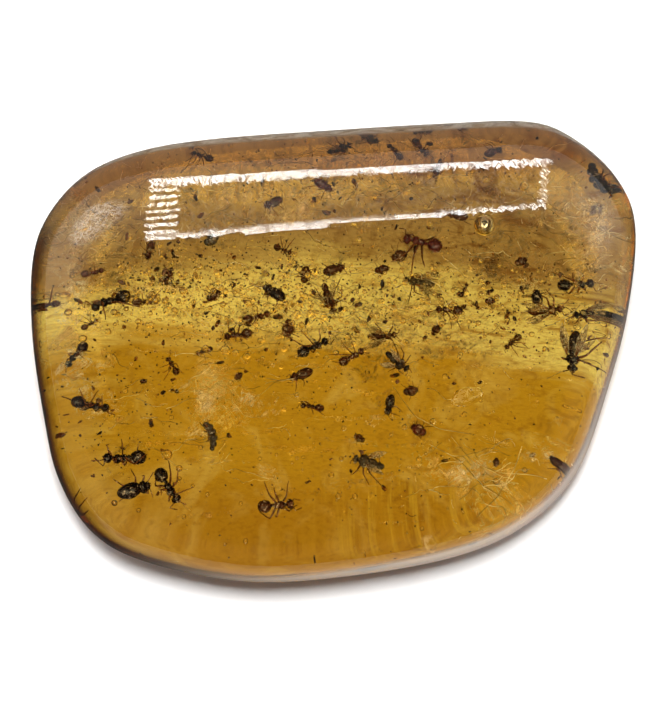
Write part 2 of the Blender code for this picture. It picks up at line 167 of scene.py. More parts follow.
# Body segments of an insect of unit length, head towards +X: (x, z, half length, half width,
# half height, bands across it). On the left side, a jaw is at (x, y, z), antennae are (root, elbow,
# tip), legs are (hip, knee, foot), and wings are (root, tip, half width).
ANATOMY = {
    "ant": {
        "segments": [
            (0.420, -0.015, 0.113, 0.129, 0.112, 1), (0.270, 0.005, 0.065, 0.050, 0.048, 1),
            (0.170, 0.022, 0.103, 0.106, 0.112, 2), (0.020, 0.008, 0.113, 0.081, 0.090, 2),
            (-0.115, -0.005, 0.037, 0.042, 0.064, 1), (-0.165, 0.005, 0.043, 0.036, 0.036, 1),
            (-0.350, 0.012, 0.211, 0.171, 0.165, 4),
        ],
        "jaws": (0.50, 0.048, -0.05),
        "antennae": [((0.48, 0.05, 0.02), (0.56, 0.17, 0.14), (0.72, 0.12, 0.02))],
        "legs": [
            ((0.20, 0.06, -0.03), (0.34, 0.27, 0.04), (0.44, 0.41, -0.20)),
            ((0.10, 0.06, -0.03), (0.08, 0.33, 0.04), (0.10, 0.51, -0.22)),
            ((0.00, 0.06, -0.03), (-0.16, 0.32, 0.04), (-0.32, 0.46, -0.22)),
        ],
        "wings": [],
    },
    "small_ant": {
        "segments": [
            (0.425, -0.015, 0.119, 0.129, 0.118, 1), (0.290, 0.005, 0.054, 0.045, 0.045, 1),
            (0.180, 0.020, 0.103, 0.104, 0.109, 2), (0.030, 0.008, 0.108, 0.078, 0.084, 2),
            (-0.095, 0.000, 0.037, 0.042, 0.059, 1), (-0.140, 0.005, 0.043, 0.036, 0.036, 1),
            (-0.325, 0.012, 0.216, 0.165, 0.162, 4),
        ],
        "jaws": (0.51, 0.048, -0.05),
        "antennae": [((0.48, 0.05, 0.02), (0.58, 0.18, 0.10), (0.68, 0.24, 0.03))],
        "legs": [
            ((0.20, 0.06, -0.03), (0.31, 0.24, 0.05), (0.40, 0.41, -0.15)),
            ((0.11, 0.06, -0.03), (0.08, 0.29, 0.05), (0.04, 0.49, -0.18)),
            ((0.02, 0.06, -0.03), (-0.14, 0.27, 0.05), (-0.28, 0.44, -0.18)),
        ],
        "wings": [],
    },
    "gnat": {
        "segments": [
            (0.440, -0.015, 0.086, 0.129, 0.119, 1), (0.340, 0.010, 0.054, 0.056, 0.056, 1),
            (0.170, 0.045, 0.184, 0.189, 0.196, 2), (-0.130, 0.010, 0.173, 0.140, 0.133, 3),
            (-0.350, -0.015, 0.173, 0.105, 0.098, 4),
        ],
        "jaws": (0.51, 0.017, -0.08),
        "antennae": [((0.50, 0.04, 0.03), (0.57, 0.11, 0.08), (0.64, 0.15, 0.06))],
        "legs": [
            ((0.24, 0.10, -0.06), (0.34, 0.29, 0.02), (0.42, 0.41, -0.22)),
            ((0.14, 0.11, -0.07), (0.10, 0.34, 0.02), (0.00, 0.49, -0.25)),
            ((0.04, 0.10, -0.06), (-0.14, 0.29, 0.02), (-0.28, 0.41, -0.25)),
        ],
        "wings": [((0.12, 0.11, 0.16), (-0.48, 0.41, 0.24), 0.120)],
    },
    "alate": {
        "segments": [
            (0.430, -0.010, 0.084, 0.106, 0.095, 1), (0.345, 0.005, 0.043, 0.056, 0.053, 1),
            (0.210, 0.025, 0.135, 0.129, 0.134, 3), (0.030, 0.010, 0.097, 0.098, 0.098, 2),
            (-0.220, 0.000, 0.292, 0.126, 0.123, 6),
        ],
        "jaws": (0.50, 0.036, -0.04),
        "antennae": [((0.48, 0.04, 0.02), (0.55, 0.12, 0.07), (0.66, 0.23, 0.04))],
        "legs": [
            ((0.26, 0.07, -0.04), (0.33, 0.22, 0.03), (0.38, 0.34, -0.18)),
            ((0.16, 0.07, -0.04), (0.12, 0.26, 0.03), (0.02, 0.37, -0.20)),
            ((0.06, 0.06, -0.04), (-0.08, 0.24, 0.03), (-0.20, 0.34, -0.20)),
        ],
        "wings": [
            ((0.17, 0.09, 0.10), (-0.66, 0.34, 0.19), 0.115),
            ((0.08, 0.07, 0.09), (-0.42, 0.41, 0.10), 0.085),
        ],
    },
    "beetle": {
        "segments": [
            (0.450, -0.020, 0.081, 0.119, 0.098, 1), (0.300, 0.005, 0.140, 0.182, 0.161, 1),
            (-0.130, 0.015, 0.400, 0.210, 0.179, 1), (-0.130, -0.020, 0.378, 0.179, 0.147, 6),
        ],
        "jaws": (0.52, 0.036, -0.05),
        "antennae": [((0.47, 0.06, 0.00), (0.54, 0.18, 0.05), (0.62, 0.29, 0.03))],
        "legs": [
            ((0.30, 0.11, -0.06), (0.38, 0.24, -0.02), (0.44, 0.33, -0.18)),
            ((0.08, 0.12, -0.07), (0.10, 0.27, -0.03), (0.08, 0.37, -0.20)),
            ((-0.12, 0.12, -0.07), (-0.20, 0.26, -0.03), (-0.28, 0.34, -0.20)),
        ],
        "wings": [],
    },
    "grub": {
        "segments": [
            (0.440, -0.085, 0.076, 0.109, 0.101, 1), (0.310, -0.015, 0.119, 0.137, 0.137, 2),
            (0.120, 0.040, 0.140, 0.143, 0.140, 3), (-0.090, 0.040, 0.140, 0.134, 0.133, 3),
            (-0.280, 0.000, 0.130, 0.112, 0.112, 3), (-0.420, -0.080, 0.097, 0.076, 0.076, 2),
        ],
        "jaws": (0.49, 0.034, -0.13),
        "antennae": [((0.46, 0.05, -0.06), (0.52, 0.15, 0.00), (0.60, 0.24, -0.01))],
        "legs": [
            ((0.30, 0.07, -0.07), (0.34, 0.18, -0.08), (0.36, 0.26, -0.22)),
            ((0.20, 0.07, -0.06), (0.22, 0.20, -0.06), (0.20, 0.29, -0.20)),
            ((0.08, 0.07, -0.05), (0.02, 0.20, -0.05), (-0.10, 0.29, -0.18)),
        ],
        "wings": [],
    },
    "mite": {
        "segments": [
            (0.370, -0.010, 0.151, 0.182, 0.154, 1), (0.050, 0.025, 0.356, 0.329, 0.280, 3),
            (-0.300, 0.005, 0.216, 0.231, 0.196, 2),
        ],
        "jaws": (0.50, 0.042, -0.05),
        "antennae": [((0.44, 0.06, 0.02), (0.52, 0.16, 0.06), (0.58, 0.24, 0.04))],
        "legs": [
            ((0.26, 0.15, -0.06), (0.38, 0.32, 0.00), (0.46, 0.46, -0.15)),
            ((0.06, 0.17, -0.08), (0.08, 0.39, 0.00), (0.08, 0.54, -0.18)),
            ((-0.14, 0.17, -0.08), (-0.22, 0.39, 0.00), (-0.30, 0.51, -0.18)),
        ],
        "wings": [],
    },
}
# Radii of the limbs, in body lengths
THIGH = 0.032
SHIN = 0.021
FOOT = 0.013
FEELER = 0.014
# Radii along each part of a leg, as shares of its own
LEG_THICKNESS = [
    (THIGH, (0.9, 1.0, 1.05, 0.9, 0.75)), (SHIN, (0.9, 1.0, 0.9, 0.75)), (FOOT, (1.1, 0.9, 1.0, 0.6)),
]
FEELER_SWELL = [1.0] * 6 + [0.8, 0.9, 1.0, 1.25, 1.0]  # along a feeler, as shares of its own
JAW_THICKNESS = [0.022, 0.017, 0.006]
WING_THICKNESS = 0.004
WING_STEPS = (20, 14)
WING_VEINS = [(-0.75, 0.92), (-0.35, 0.80), (0.1, 0.88), (0.5, 0.66)]  # (place across, reach)
VEIN_STEPS = 6
VEIN_SIDES = 5
SEGMENT_SIDES = 18
SEGMENT_RINGS = 16
BAND_STEP = 0.06  # how far each band of a segment steps in
LIMB_SIDES = 6
STOUT = 1.16  # how much the shells have swelled
DENT = 0.16  # how unevenly a shell has shrunk and dented
LOST_LIMBS = 0.12  # share of the legs that broke off
SWEEP = (-0.24, 0.06, 0.30)  # how far the feet are drawn back, forward and sideways, in body lengths
LIMB_SPREAD = 0.09  # how far each knee and foot strays, in body lengths

# Smaller and torn creatures: (shape, x, y, height, length, heading, roll), in mm and degrees
SCRAPS = [
    ("mite", -16.4, 6.7, 18.0, 2.1, 30, 40), ("beetle", -8.2, 18.7, 15.0, 2.6, 200, 30),
    ("mite", -3.9, 9.6, 14.0, 2.2, 80, 20), ("mite", 6.6, 10.2, 17.5, 2.0, 10, 60),
    ("mite", 35.1, 17.9, 14.0, 1.6, 50, 20), ("beetle", 17.0, 17.3, 16.5, 2.7, 170, 30),
    ("mite", 25.5, 11.3, 17.0, 1.7, 20, 30), ("small_ant", 17.8, 7.6, 14.0, 1.9, 60, 40),
    ("mite", 21.3, 6.0, 19.0, 1.4, 0, 20), ("beetle", -39.0, -0.6, 11.0, 2.0, 160, 30),
    ("small_ant", -32.8, 3.0, 16.5, 2.2, 30, 50), ("small_ant", -17.6, -0.8, 18.5, 2.2, 200, 50),
    ("mite", -25.8, -4.9, 19.0, 0.9, 0, 0), ("mite", -13.0, -4.2, 18.0, 1.3, 40, 10),
    ("small_ant", -2.9, -8.4, 18.0, 3.0, 170, 70), ("mite", 16.4, -5.2, 18.0, 0.6, 0, 0),
    ("mite", 19.9, -5.1, 19.0, 0.6, 30, 0), ("mite", 22.0, -15.8, 17.0, 1.2, 80, 20),
    ("mite", 29.0, -15.1, 16.0, 1.5, 120, 30), ("mite", -0.7, -28.4, 13.0, 1.2, 20, 20),
    ("mite", 20.6, -24.0, 15.0, 1.7, 90, 20), ("small_ant", 12.5, 28.4, 12.5, 2.6, 190, 50),
    ("mite", 18.1, 28.6, 11.0, 1.9, 40, 20), ("mite", -36.0, 20.4, 11.0, 1.8, 60, 20),
    ("mite", -39.2, 13.6, 11.0, 1.9, 100, 20), ("small_ant", 8.6, 25.2, 13.0, 2.8, 130, 60),
    ("gnat", 14.5, 22.8, 12.0, 2.6, 250, 20), ("beetle", 22.0, 25.4, 14.0, 2.4, 20, 20),
    ("small_ant", -22.0, -2.5, 11.0, 2.6, 120, 40), ("mite", 3.5, -12.5, 12.0, 1.6, 150, 30),
    ("small_ant", 24.5, 0.8, 12.0, 2.6, 220, 40), ("beetle", -25.0, 12.6, 12.5, 2.4, 250, 30),
    ("small_ant", -7.0, 12.8, 13.0, 2.4, 340, 30), ("mite", 14.0, 2.4, 12.0, 1.6, 60, 10),
]
# Single long fibres: (thickness, then points x, y, z), mm
FILAMENTS = [
    (
        0.05, (-4.4, 6.0, 19.0), (-3.6, 4.6, 19.2), (-1.4, 4.1, 19.4), (0.9, 4.6, 19.2),
        (1.0, 5.9, 19.0), (-0.8, 6.5, 19.1), (-2.8, 6.2, 19.3),
    ),
    (0.06, (-9.2, -4.5, 19.0), (-7.2, -4.9, 19.2), (-5.6, -4.6, 19.0), (-4.4, -4.2, 18.8)),
    (0.06, (-12.4, 7.4, 20.5), (-11.0, 8.0, 20.7), (-9.8, 7.6, 20.6), (-8.6, 7.3, 20.5)),
    (0.05, (13.0, -13.5, 18.0), (17.0, -15.5, 18.5), (20.0, -18.8, 18.0), (23.5, -20.6, 17.5)),
    (0.05, (16.0, -12.4, 17.0), (19.0, -16.0, 17.5), (22.8, -17.2, 17.0), (27.5, -17.0, 16.0)),
    (0.05, (19.0, -22.4, 16.0), (22.0, -20.0, 16.5), (24.4, -16.4, 17.0), (25.4, -13.6, 17.0)),
    (0.05, (8.0, -5.4, 17.0), (11.0, -9.6, 17.0), (14.4, -11.4, 17.5), (19.4, -12.2, 18.0)),
    (0.05, (-26.0, 17.4, 18.0), (-24.0, 20.4, 17.5), (-22.4, 21.6, 17.0), (-20.4, 21.0, 17.0)),
    (0.05, (-20.5, 24.6, 15.0), (-19.0, 24.0, 15.4), (-17.4, 23.4, 15.6), (-15.0, 21.0, 16.0)),
]

# ---------------------------------------------------------------- what else is in the resin

# Where the finer inclusions gather, seen from above: (x, y, half length, half depth, share), mm
SPECK_CLOUDS = [
    (-22.0, 8.0, 16.0, 7.0, 0.20), (-2.0, 6.5, 22.0, 8.0, 0.24), (26.0, 6.0, 16.0, 8.0, 0.16),
    (-2.0, 22.0, 34.0, 9.0, 0.20), (-28.0, -8.0, 14.0, 12.0, 0.08), (4.0, -10.0, 36.0, 20.0, 0.12),
]
BUBBLE_CLOUDS = [
    (-22.0, 7.0, 16.0, 6.5, 0.28), (-2.0, 5.0, 18.0, 7.0, 0.22), (20.0, 6.0, 18.0, 8.0, 0.18),
    (2.0, -13.0, 34.0, 16.0, 0.16), (0.0, 22.0, 34.0, 9.0, 0.16),
]
THREAD_CLOUDS = [
    (0.0, 5.0, 36.0, 10.0, 0.30), (21.0, -17.0, 10.0, 6.0, 0.08), (-18.0, -8.0, 15.0, 11.0, 0.10),
    (0.0, 21.0, 34.0, 8.0, 0.22), (-31.0, 16.0, 5.0, 6.0, 0.08), (32.0, 15.0, 6.0, 8.0, 0.08),
]
TUFT_CLOUDS = [
    (-33.4, 16.8, 3.6, 3.8, 0.26), (-26.0, 18.0, 6.0, 8.0, 0.14), (34.0, 14.0, 4.0, 7.0, 0.06),
    (21.0, -16.5, 12.0, 6.0, 0.06), (-16.0, -6.0, 9.0, 7.0, 0.05), (0.0, 21.0, 36.0, 9.0, 0.22),
    (0.0, 6.0, 38.0, 6.0, 0.11),
]
VEIL_CLOUDS = [
    (-15.8, -7.0, 7.0, 6.0, 0.22), (-32.5, 16.0, 3.5, 4.0, 0.14), (33.0, 15.0, 4.5, 7.0, 0.14),
    (0.0, 21.0, 32.0, 8.0, 0.26), (20.0, -16.0, 11.0, 7.0, 0.12), (-34.0, 0.0, 4.0, 14.0, 0.12),
]
BROWN_CLOUDS = [
    (-8.0, 3.0, 12.0, 5.0, 0.20), (10.0, 2.0, 14.0, 6.0, 0.16), (0.0, 22.0, 34.0, 8.0, 0.36),
    (-26.0, 14.0, 12.0, 7.0, 0.14), (26.0, 12.0, 12.0, 8.0, 0.14),
]
STREAK_CLOUDS = [
    (-18.0, 7.0, 22.0, 6.0, 0.34), (14.0, 5.0, 28.0, 8.0, 0.42), (0.0, -10.0, 34.0, 14.0, 0.24),
]
CRACKS = [
    # (x, y, height, half length, half width, half thickness, heading, tilt): gaps of air, mm, degrees
    (5.8, -10.2, 18.0, 1.6, 0.7, 0.03, 20, 24), (12.8, -13.8, 17.0, 0.9, 0.7, 0.03, 60, 28),
    (24.5, -19.5, 17.5, 2.2, 0.9, 0.03, -30, 26), (12.6, -25.2, 17.0, 0.9, 0.6, 0.03, 10, 30),
    (-5.8, -7.2, 20.5, 2.8, 0.5, 0.04, 172, 22), (35.5, 15.5, 16.5, 2.2, 1.0, 0.03, 70, 30),
    (-33.6, 16.4, 15.5, 2.0, 1.4, 0.03, 40, 30), (33.0, 19.5, 15.5, 1.4, 0.8, 0.03, 120, 26),
    (-25.0, -6.0, 16.0, 1.1, 0.8, 0.03, 100, 22), (20.0, -5.0, 14.0, 0.8, 0.5, 0.03, 0, 24),
    (18.1, -7.0, 18.0, 2.2, 1.25, 0.35, 20, 10), (-28.4, 3.6, 18.0, 1.0, 0.5, 0.03, 160, 30),
    (-12.0, -8.4, 19.0, 1.6, 0.5, 0.03, 130, 28), (-16.0, -3.6, 19.0, 1.2, 0.5, 0.03, 30, 26),
    (26.2, 22.6, 15.0, 1.4, 0.6, 0.03, 20, 24), (15.0, -17.4, 17.5, 1.4, 0.4, 0.03, -50, 26),
    (22.0, -13.0, 18.0, 1.8, 0.4, 0.03, -20, 24), (-20.6, 20.8, 17.0, 1.8, 0.3, 0.03, -30, 20),
]
BIG_BUBBLES = [
    # (x, y, height, radius), mm
    (20.6, 16.1, 15.5, 1.45), (-22.6, -14.8, 18.0, 0.75), (24.5, 23.6, 12.0, 0.55),
    (26.0, 21.0, 14.0, 0.60), (-14.8, -0.6, 17.0, 0.70), (-13.4, -1.0, 18.0, 0.5),
]
BIG_BUBBLE_STEPS = (36, 24)
SILVERED_OVER = 1.0  # a bubble of a larger radius than this, in mm, is silvered
CRACK_STEPS = 20
CRACK_SEED_STEP = 7.3  # sets the rims of the cracks apart

# How deep under the skin each kind keeps, and for some its lowest and highest level, in mm
BUBBLE_MARGIN = 0.9
SPECK_MARGIN = 0.5
CRUMB_MARGIN = 1.2
THREAD_ROOM = (4.5, 6.0, 21.5)
TUFT_ROOM = (1.9, 9.0, 22.0)
VEIL_LEVELS = (6.0, 22.0)
CLOUDED_DEPTH = 4.0  # an insect that lies deeper than this has a cloud beside it

MOSTLY_SMALL = 2.5  # power that makes small grains more common than large ones
LUMP_SCALE = 0.9 / 0.0003  # scales of the noise that bends grains, threads and veils, per metre
WAVE_SCALE = 260.0
FOLD_SCALE = 420.0
THREAD_SIDES = 5
VEIL_STEPS = (16, 9)
FIBRE_TURN = 40.1  # direction of the fibres in a veil, in degrees

# ---------------------------------------------------------------- the stage's form

# Where the lamp frame shows in the polished roll, as its corners on the block seen from above, in
# mm: front left, front right, back right, back left
LAMP_IN_POLISH = [(-25.6, 13.9), (28.9, 18.6), (29.6, 25.7), (-25.1, 22.9)]
LAMP_STEPS = (96, 20)
LAMP_PLANE = 0.75  # height of the lamps above the table, in metres
CEILING_PLANE = LAMP_PLANE * 1.2
TOP_LIGHT_SIDE = 0.10  # metres
TOP_LIGHT_BACK = 0.055  # metres behind the middle
CEILING_HALF = 1.5  # half the side of each square sheet, in metres
TABLE_HALF = 2.0
CARD_HALF = 0.6
TABLE_LEVEL = -0.0002  # the three sheets lie close under the block, in metres
PAD_LEVEL = -0.0001
CARD_LEVEL = -0.00005
PAD_SHARE = 0.92  # of the block's outline
QUAD = (0, 1, 2, 3)
FRAME_PIXELS = (665, 702)
BLOCK_PIXELS = 604  # how many pixels of the frame the block's length takes
CAMERA_SHIFT = -0.0018  # sideways, as a share of the frame's longer side

# (direction, cosine at its full middle, cosine at its rim, brightness): pale patches of the room
# that show in the two upper corners
HAZES = [((-0.49, 0.72, 0.49), 0.990, 0.964, 6.5), ((0.63, 0.55, 0.54), 0.985, 0.880, 1.6)]

# Where the lamp frame's bars and ladders begin or end across and along it, from 0 to 1, and how
# closely the ladders' rungs follow each other
BACK_BAR = (0.855, 0.895)
FRONT_BAR = (0.070, 0.105)
LEFT_LADDER = (0.070, 0.080)
RIGHT_LADDER = (0.978, 0.984)
LEFT_RUNGS = 56.0
RIGHT_RUNGS = 110.0
CARD_RIGHT = (10.0, 50.0)  # spans of the card's pattern, in mm
CARD_BEHIND = (15.0, 45.0)
CARD_DARKEST = 0.05
CEILING_HOLE = (0.16, 0.26)  # square of the distance from straight above, in square metres
CEILING_BEHIND = (0.0, 0.25)
CARD_COLOUR = (1.0, 0.91, 0.80)
PAD_COLOUR = (1.0, 0.99, 0.97)
WHITE = (1.0, 1.0, 1.0)
BLACK = (0.0, 0.0, 0.0)


# ---------------------------------------------------------------- node trees

class Flow:
    """A node's output that can be written in an expression, each sign adding a Math node."""

    def __init__(self, tree, socket):
        self.tree = tree
        self.socket = socket

    def _math(self, operation, *values):
        made = self.tree.node("ShaderNodeMath", {"operation": operation}, dict(enumerate(values)))
        return made.flow()

    def __add__(self, other):
        return self._math("ADD", self, other)

    def __radd__(self, other):
        return self._math("ADD", other, self)

    def __sub__(self, other):
        return self._math("SUBTRACT", self, other)

    def __rsub__(self, other):
        return self._math("SUBTRACT", other, self)

    def __mul__(self, other):
        return self._math("MULTIPLY", self, other)

    def __rmul__(self, other):
        return self._math("MULTIPLY", other, self)

    def __truediv__(self, other):
        return self._math("DIVIDE", self, other)

    def __pow__(self, other):
        return self._math("POWER", self, other)

    def over(self, low, high):
        """0 below low, 1 above high, and smooth between."""
        inputs = {"Value": self, "From Min": low, "From Max": high}
        made = self.tree.node("ShaderNodeMapRange", {"interpolation_type": "SMOOTHSTEP"}, inputs)
        return made.flow()

    def larger(self, other):
        return self._math("MAXIMUM", self, other)

    def sine(self):
        return self._math("SINE", self)


class Made:
    """A node that was just added."""

    def __init__(self, tree, node):
        self.tree = tree
        self.node = node

    def flow(self, output=0):
        return Flow(self.tree, self.node.outputs[output])


class Tree:
    """A node tree with one way to add a node: its type, its settings, then its inputs."""

    def __init__(self, node_tree):
        self.node_tree = node_tree

    def node(self, kind, settings=None, inputs=None):
        made = self.node_tree.nodes.new(kind)
        for name, value in (settings or {}).items():
            setattr(made, name, value)
        self.fill(made, inputs or {})
        return Made(self, made)

    def fill(self, node, inputs):
        """Gives each named input of a node its value, its colour or the flow that feeds it."""
        for name, value in inputs.items():
            socket = node.inputs[name]
            if isinstance(value, Flow):
                self.node_tree.links.new(value.socket, socket)
            elif socket.type == "RGBA":
                socket.default_value = (*value[:3], 1.0)
            else:
                socket.default_value = value

    def here(self):
        """The place on the piece, in metres."""
        return self.node("ShaderNodeTexCoord").flow("Object")

    def kept(self, name):
        """A vector that the mesh keeps at each point."""
        return self.node("ShaderNodeAttribute", {"attribute_name": name}).flow("Vector")

    def axes(self, where):
        """The three numbers of a vector."""
        parts = self.node("ShaderNodeSeparateXYZ", None, {0: where})
        return [parts.flow(axis) for axis in "XYZ"]

    def vector(self, x, y, z):
        return self.node("ShaderNodeCombineXYZ", None, {0: x, 1: y, 2: z}).flow()

    def mix(self, factor, first, second, blend="MIX"):
        """Two colours mixed by a factor."""
        settings = {"data_type": "RGBA", "blend_type": blend}
        made = self.node("ShaderNodeMix", settings, {0: factor, 6: first, 7: second})
        return made.flow(2)

    def noise(self, where, scale, detail=2.0, roughness=0.5, warp=0.0):
        inputs = {
            "Vector": where, "Scale": scale, "Detail": detail, "Roughness": roughness,
            "Distortion": warp,
        }
        return self.node("ShaderNodeTexNoise", None, inputs).flow()

    def drawn_noise(self, where, size, detail, roughness=0.5, warp=0.0, turn=0.0):
        """Noise whose grains have a size on each axis, turned about the vertical by degrees."""
        inputs = {"Vector": where, "Rotation": (0.0, 0.0, math.radians(turn)), "Scale": size}
        placed = self.node("ShaderNodeMapping", {"vector_type": "TEXTURE"}, inputs).flow()
        return self.noise(placed, 1.0, detail, roughness, warp)

    def bump(self, height, distance, strength=1.0):
        inputs = {"Height": height, "Strength": strength, "Distance": distance}
        return self.node("ShaderNodeBump", None, inputs).flow()


def new_material(name):
    """A new material with its tree and its Principled shader: (material, tree, shader)."""
    made = bpy.data.materials.new(name)
    made.use_nodes = True
    return made, Tree(made.node_tree), made.node_tree.nodes["Principled BSDF"]


# ---------------------------------------------------------------- the resin's zones

# Each span, in mm, runs from where a zone of the skin begins to where it is full
LEFT_SPAN = (-38.0, -18.0)
RIGHT_SPAN = (-18.0, 20.0)
RIGHT_CORNER_SPAN = (6.0, 30.0)
BACK_SPAN = (9.2, 13.8)
BACK_SHIFT = -7.0
FRONT_SPAN = (-2.0, 3.2)
FRONT_LINE = 2.6  # where the front ends on the left
FRONT_TURN = 13.0  # from here to the right its line falls away
FRONT_FALL = 0.41
BROW_SPAN = (21.0, 25.5)
BROW_LEVELS = (14.6, 16.4)
DRAWN_LINE = -15.0  # the streaks low in front begin here
DRAWN_SPAN = (0.0, 5.0)
DRAWN_RIGHT = (-8.0, 8.0)
DEEP_LINE = -14.0  # the deepest part in front begins here
DEEP_SPAN = (0.0, 9.0)
# Levels and depths over which the painted shade on the left and front walls fades in and out, in mm
EDGE_FOOT = (10.0, 11.0)
EDGE_TOP = (19.4, 22.6)
EDGE_BACK = (14.0, 22.0)
EDGE_RIGHT = (5.0, 30.0)  # along less depth, past which the edge stays clear
SKIN_LEVELS = (8.0, 11.0)  # from the underside's tint to the face's
WORN_SPAN = (650.0, 1000.0)  # square of the distance along from the middle
TOP_SHARE = 0.45  # how strongly the face is tinted
DEEP_TINT = (0.86, 0.78, 0.72)

# Fine scratches: (direction in degrees, width, length), sizes in metres
SCRATCHES = [(2.0, 0.00030, 0.0090), (-38.0, 0.00016, 0.0060), (55.0, 0.00018, 0.0080)]


def resin_zones(tree, where):
    """How far each point of the skin lies in each zone of the resin and in the painted edge shade, from 0 to
    1, by name.
    """
    along, depth, height = (axis / MM for axis in tree.axes(where))
    sway = tree.noise(where, 45.0)
    streaky = tree.drawn_noise(where, (0.020, 0.0016, 0.02), 3.0, 0.6, turn=-5.0)
    left = 1.0 - along.over(*LEFT_SPAN)
    behind = depth + sway * 9.0 + streaky * 5.0 + BACK_SHIFT + left * 5.0
    behind = behind + along.over(*RIGHT_CORNER_SPAN) * 4.0
    line = FRONT_LINE - (along.larger(FRONT_TURN) - FRONT_TURN) * FRONT_FALL
    before = line - depth + (sway - 0.5) * 13.0 + (streaky - 0.5) * 9.0
    brow = (depth + left * 4.0 + (sway - 0.5) * 8.0).over(*BROW_SPAN)
    # Painted shade that darkens the walls on the left and in front
    edge = height.over(*EDGE_FOOT) * (1.0 - height.over(*EDGE_TOP)) * (1.0 - depth.over(*EDGE_BACK))
    return {
        "left": left,
        "right": along.over(*RIGHT_SPAN),
        "back": behind.over(*BACK_SPAN),
        "front": before.over(*FRONT_SPAN),
        "brow": brow * height.over(*BROW_LEVELS),
        "drawn": (DRAWN_LINE - depth).over(*DRAWN_SPAN) * along.over(*DRAWN_RIGHT),
        "deep": (DEEP_LINE - depth).over(*DEEP_SPAN),
        "edge": edge * (1.0 - (along - depth).over(*EDGE_RIGHT)),
        "face": height.over(*SKIN_LEVELS),
        "ends": (along * along).over(*WORN_SPAN),
    }


def resin_hue(tree, where, zones, settings):
    """The tint of the skin: its zones, clouds, streaks and grain, and the painted shade on the left and front
    walls.
    """
    back, front, right = zones["back"], zones["front"], zones["right"]
    milky = tree.noise(where, 140.0, 3.0, 0.68, 0.8).over(0.48, 0.70)
    mottle = tree.noise(where, 330.0, 5.0, 0.72, 0.8).over(0.48, 0.70)
    mottle = mottle * (0.18 + right * 0.38 + back * 0.3 + zones["left"] * 0.3)
    smoky = tree.drawn_noise(where, (0.0065, 0.0016, 0.004), 3.0, 0.68, 0.5, -3.0).over(0.50, 0.66)
    smoky = smoky * (1.0 - front) * (0.14 + right * 0.70)
    grain = tree.drawn_noise(where, (0.0011, 0.00035, 0.0006), 4.0, 0.7, turn=-4.0).over(0.46, 0.72)
    drawn = tree.drawn_noise(where, (0.0010, 0.0090, 0.02), 3.0, 0.7).over(0.47, 0.68)
    hue = tree.mix(back, settings.band_tint, settings.back_tint)
    hue = tree.mix(front * (1.0 - milky * 0.32), hue, settings.front_tint)
    for share in (mottle, smoky, grain * (0.66 - front * 0.28)):
        hue = tree.mix(share, hue, settings.cloud_tint, "MULTIPLY")
    hue = tree.mix(drawn * zones["drawn"] * 0.7, hue, settings.drawn_tint)
    hue = tree.mix(zones["deep"], hue, DEEP_TINT, "MULTIPLY")
    above, below = tree.mix(TOP_SHARE, WHITE, hue), tree.mix(1.0, hue, hue, "MULTIPLY")
    whole = tree.mix(zones["face"], below, above)
    dim = (1.0 - back) * (zones["left"] + right * (1.0 - front))
    whole = tree.mix(dim * 0.5, whole, settings.dim_tint, "MULTIPLY")
    # Painted shade on the left and front walls
    whole = tree.mix(zones["edge"], whole, settings.edge_tint, "MULTIPLY")
    return tree.mix(zones["brow"], whole, settings.brow_tint, "MULTIPLY")


def scratch_grooves(tree, where):
    """Height of the polishing scratches, which cross in three directions."""
    fine, *sparse = (
        tree.drawn_noise(where, (wide, long, 0.01), 1.0, 0.7, turn=turn) for turn, wide, long in SCRATCHES
    )
    return fine + sparse[0].over(0.60, 0.70) * 0.4 + sparse[1].over(0.60, 0.70) * 0.4


# ---------------------------------------------------------------- materials

def copal_material(settings):
    """Clear golden resin: absorbing inside, zoned, with painted shade on its left and front walls, and
    polished with fine scratches.
    """
    made, tree, shader = new_material("clear_copal")
    where = tree.here()
    zones = resin_zones(tree, where)
    grooves = scratch_grooves(tree, where) * (1.0 - zones["back"] * 0.95)
    worn = tree.noise(where, 120.0, 3.0, 0.7).over(0.50, 0.70) * zones["ends"]
    tree.fill(shader, {
        "Base Color": resin_hue(tree, where, zones, settings),
        "Normal": tree.bump(grooves, settings.scratch_depth),
        "Roughness": settings.polish + worn * zones["back"] * 0.10,
        "IOR": settings.ior,
        "Transmission Weight": 1.0,
    })
    inside = tree.node("ShaderNodeVolumeAbsorption", None, {
        "Color": settings.depth_colour, "Density": settings.depth_density,
    })
    tree.fill(made.node_tree.nodes["Material Output"], {"Volume": inside.flow()})
    return made


def rind_material(settings):
    """The weathered crust left along the back, greyish and half clear, with dark stains."""
    made, tree, shader = new_material("weathered_rind")
    where = tree.here()
    _, depth, height = (axis / MM for axis in tree.axes(where))
    patchy = tree.noise(where, 190.0, 6.0, 0.7, 1.2)
    stains = tree.drawn_noise(where, (0.007, 0.004, 0.003), 4.0, 0.7).over(0.58, 0.66)
    crust = tree.mix(patchy.over(0.35, 0.65), settings.rind_dark, settings.rind_light)
    span = height.over(*RIND_FOOT) * depth.over(*RIND_FRONT)
    span = span * (1.0 - (height + patchy * 3.0).over(*RIND_TOP))
    tree.fill(shader, {
        "Base Color": tree.mix(stains, crust, settings.rind_stain),
        "Alpha": span * (0.55 + patchy.over(0.35, 0.60) * 0.35 + stains * 0.1),
        "Roughness": 0.6,
    })
    return made


def hollow_material():
    """The wall of a bubble or a crack, where the resin meets trapped air."""
    made, tree, shader = new_material("air_hollow")
    dull = tree.noise(tree.here(), 1600.0, 3.0).over(0.5, 0.7)
    tree.fill(shader, {
        "Base Color": WHITE, "Roughness": 0.02 + dull * 0.12, "IOR": WALL_IOR, "Transmission Weight": 1.0,
    })
    return made


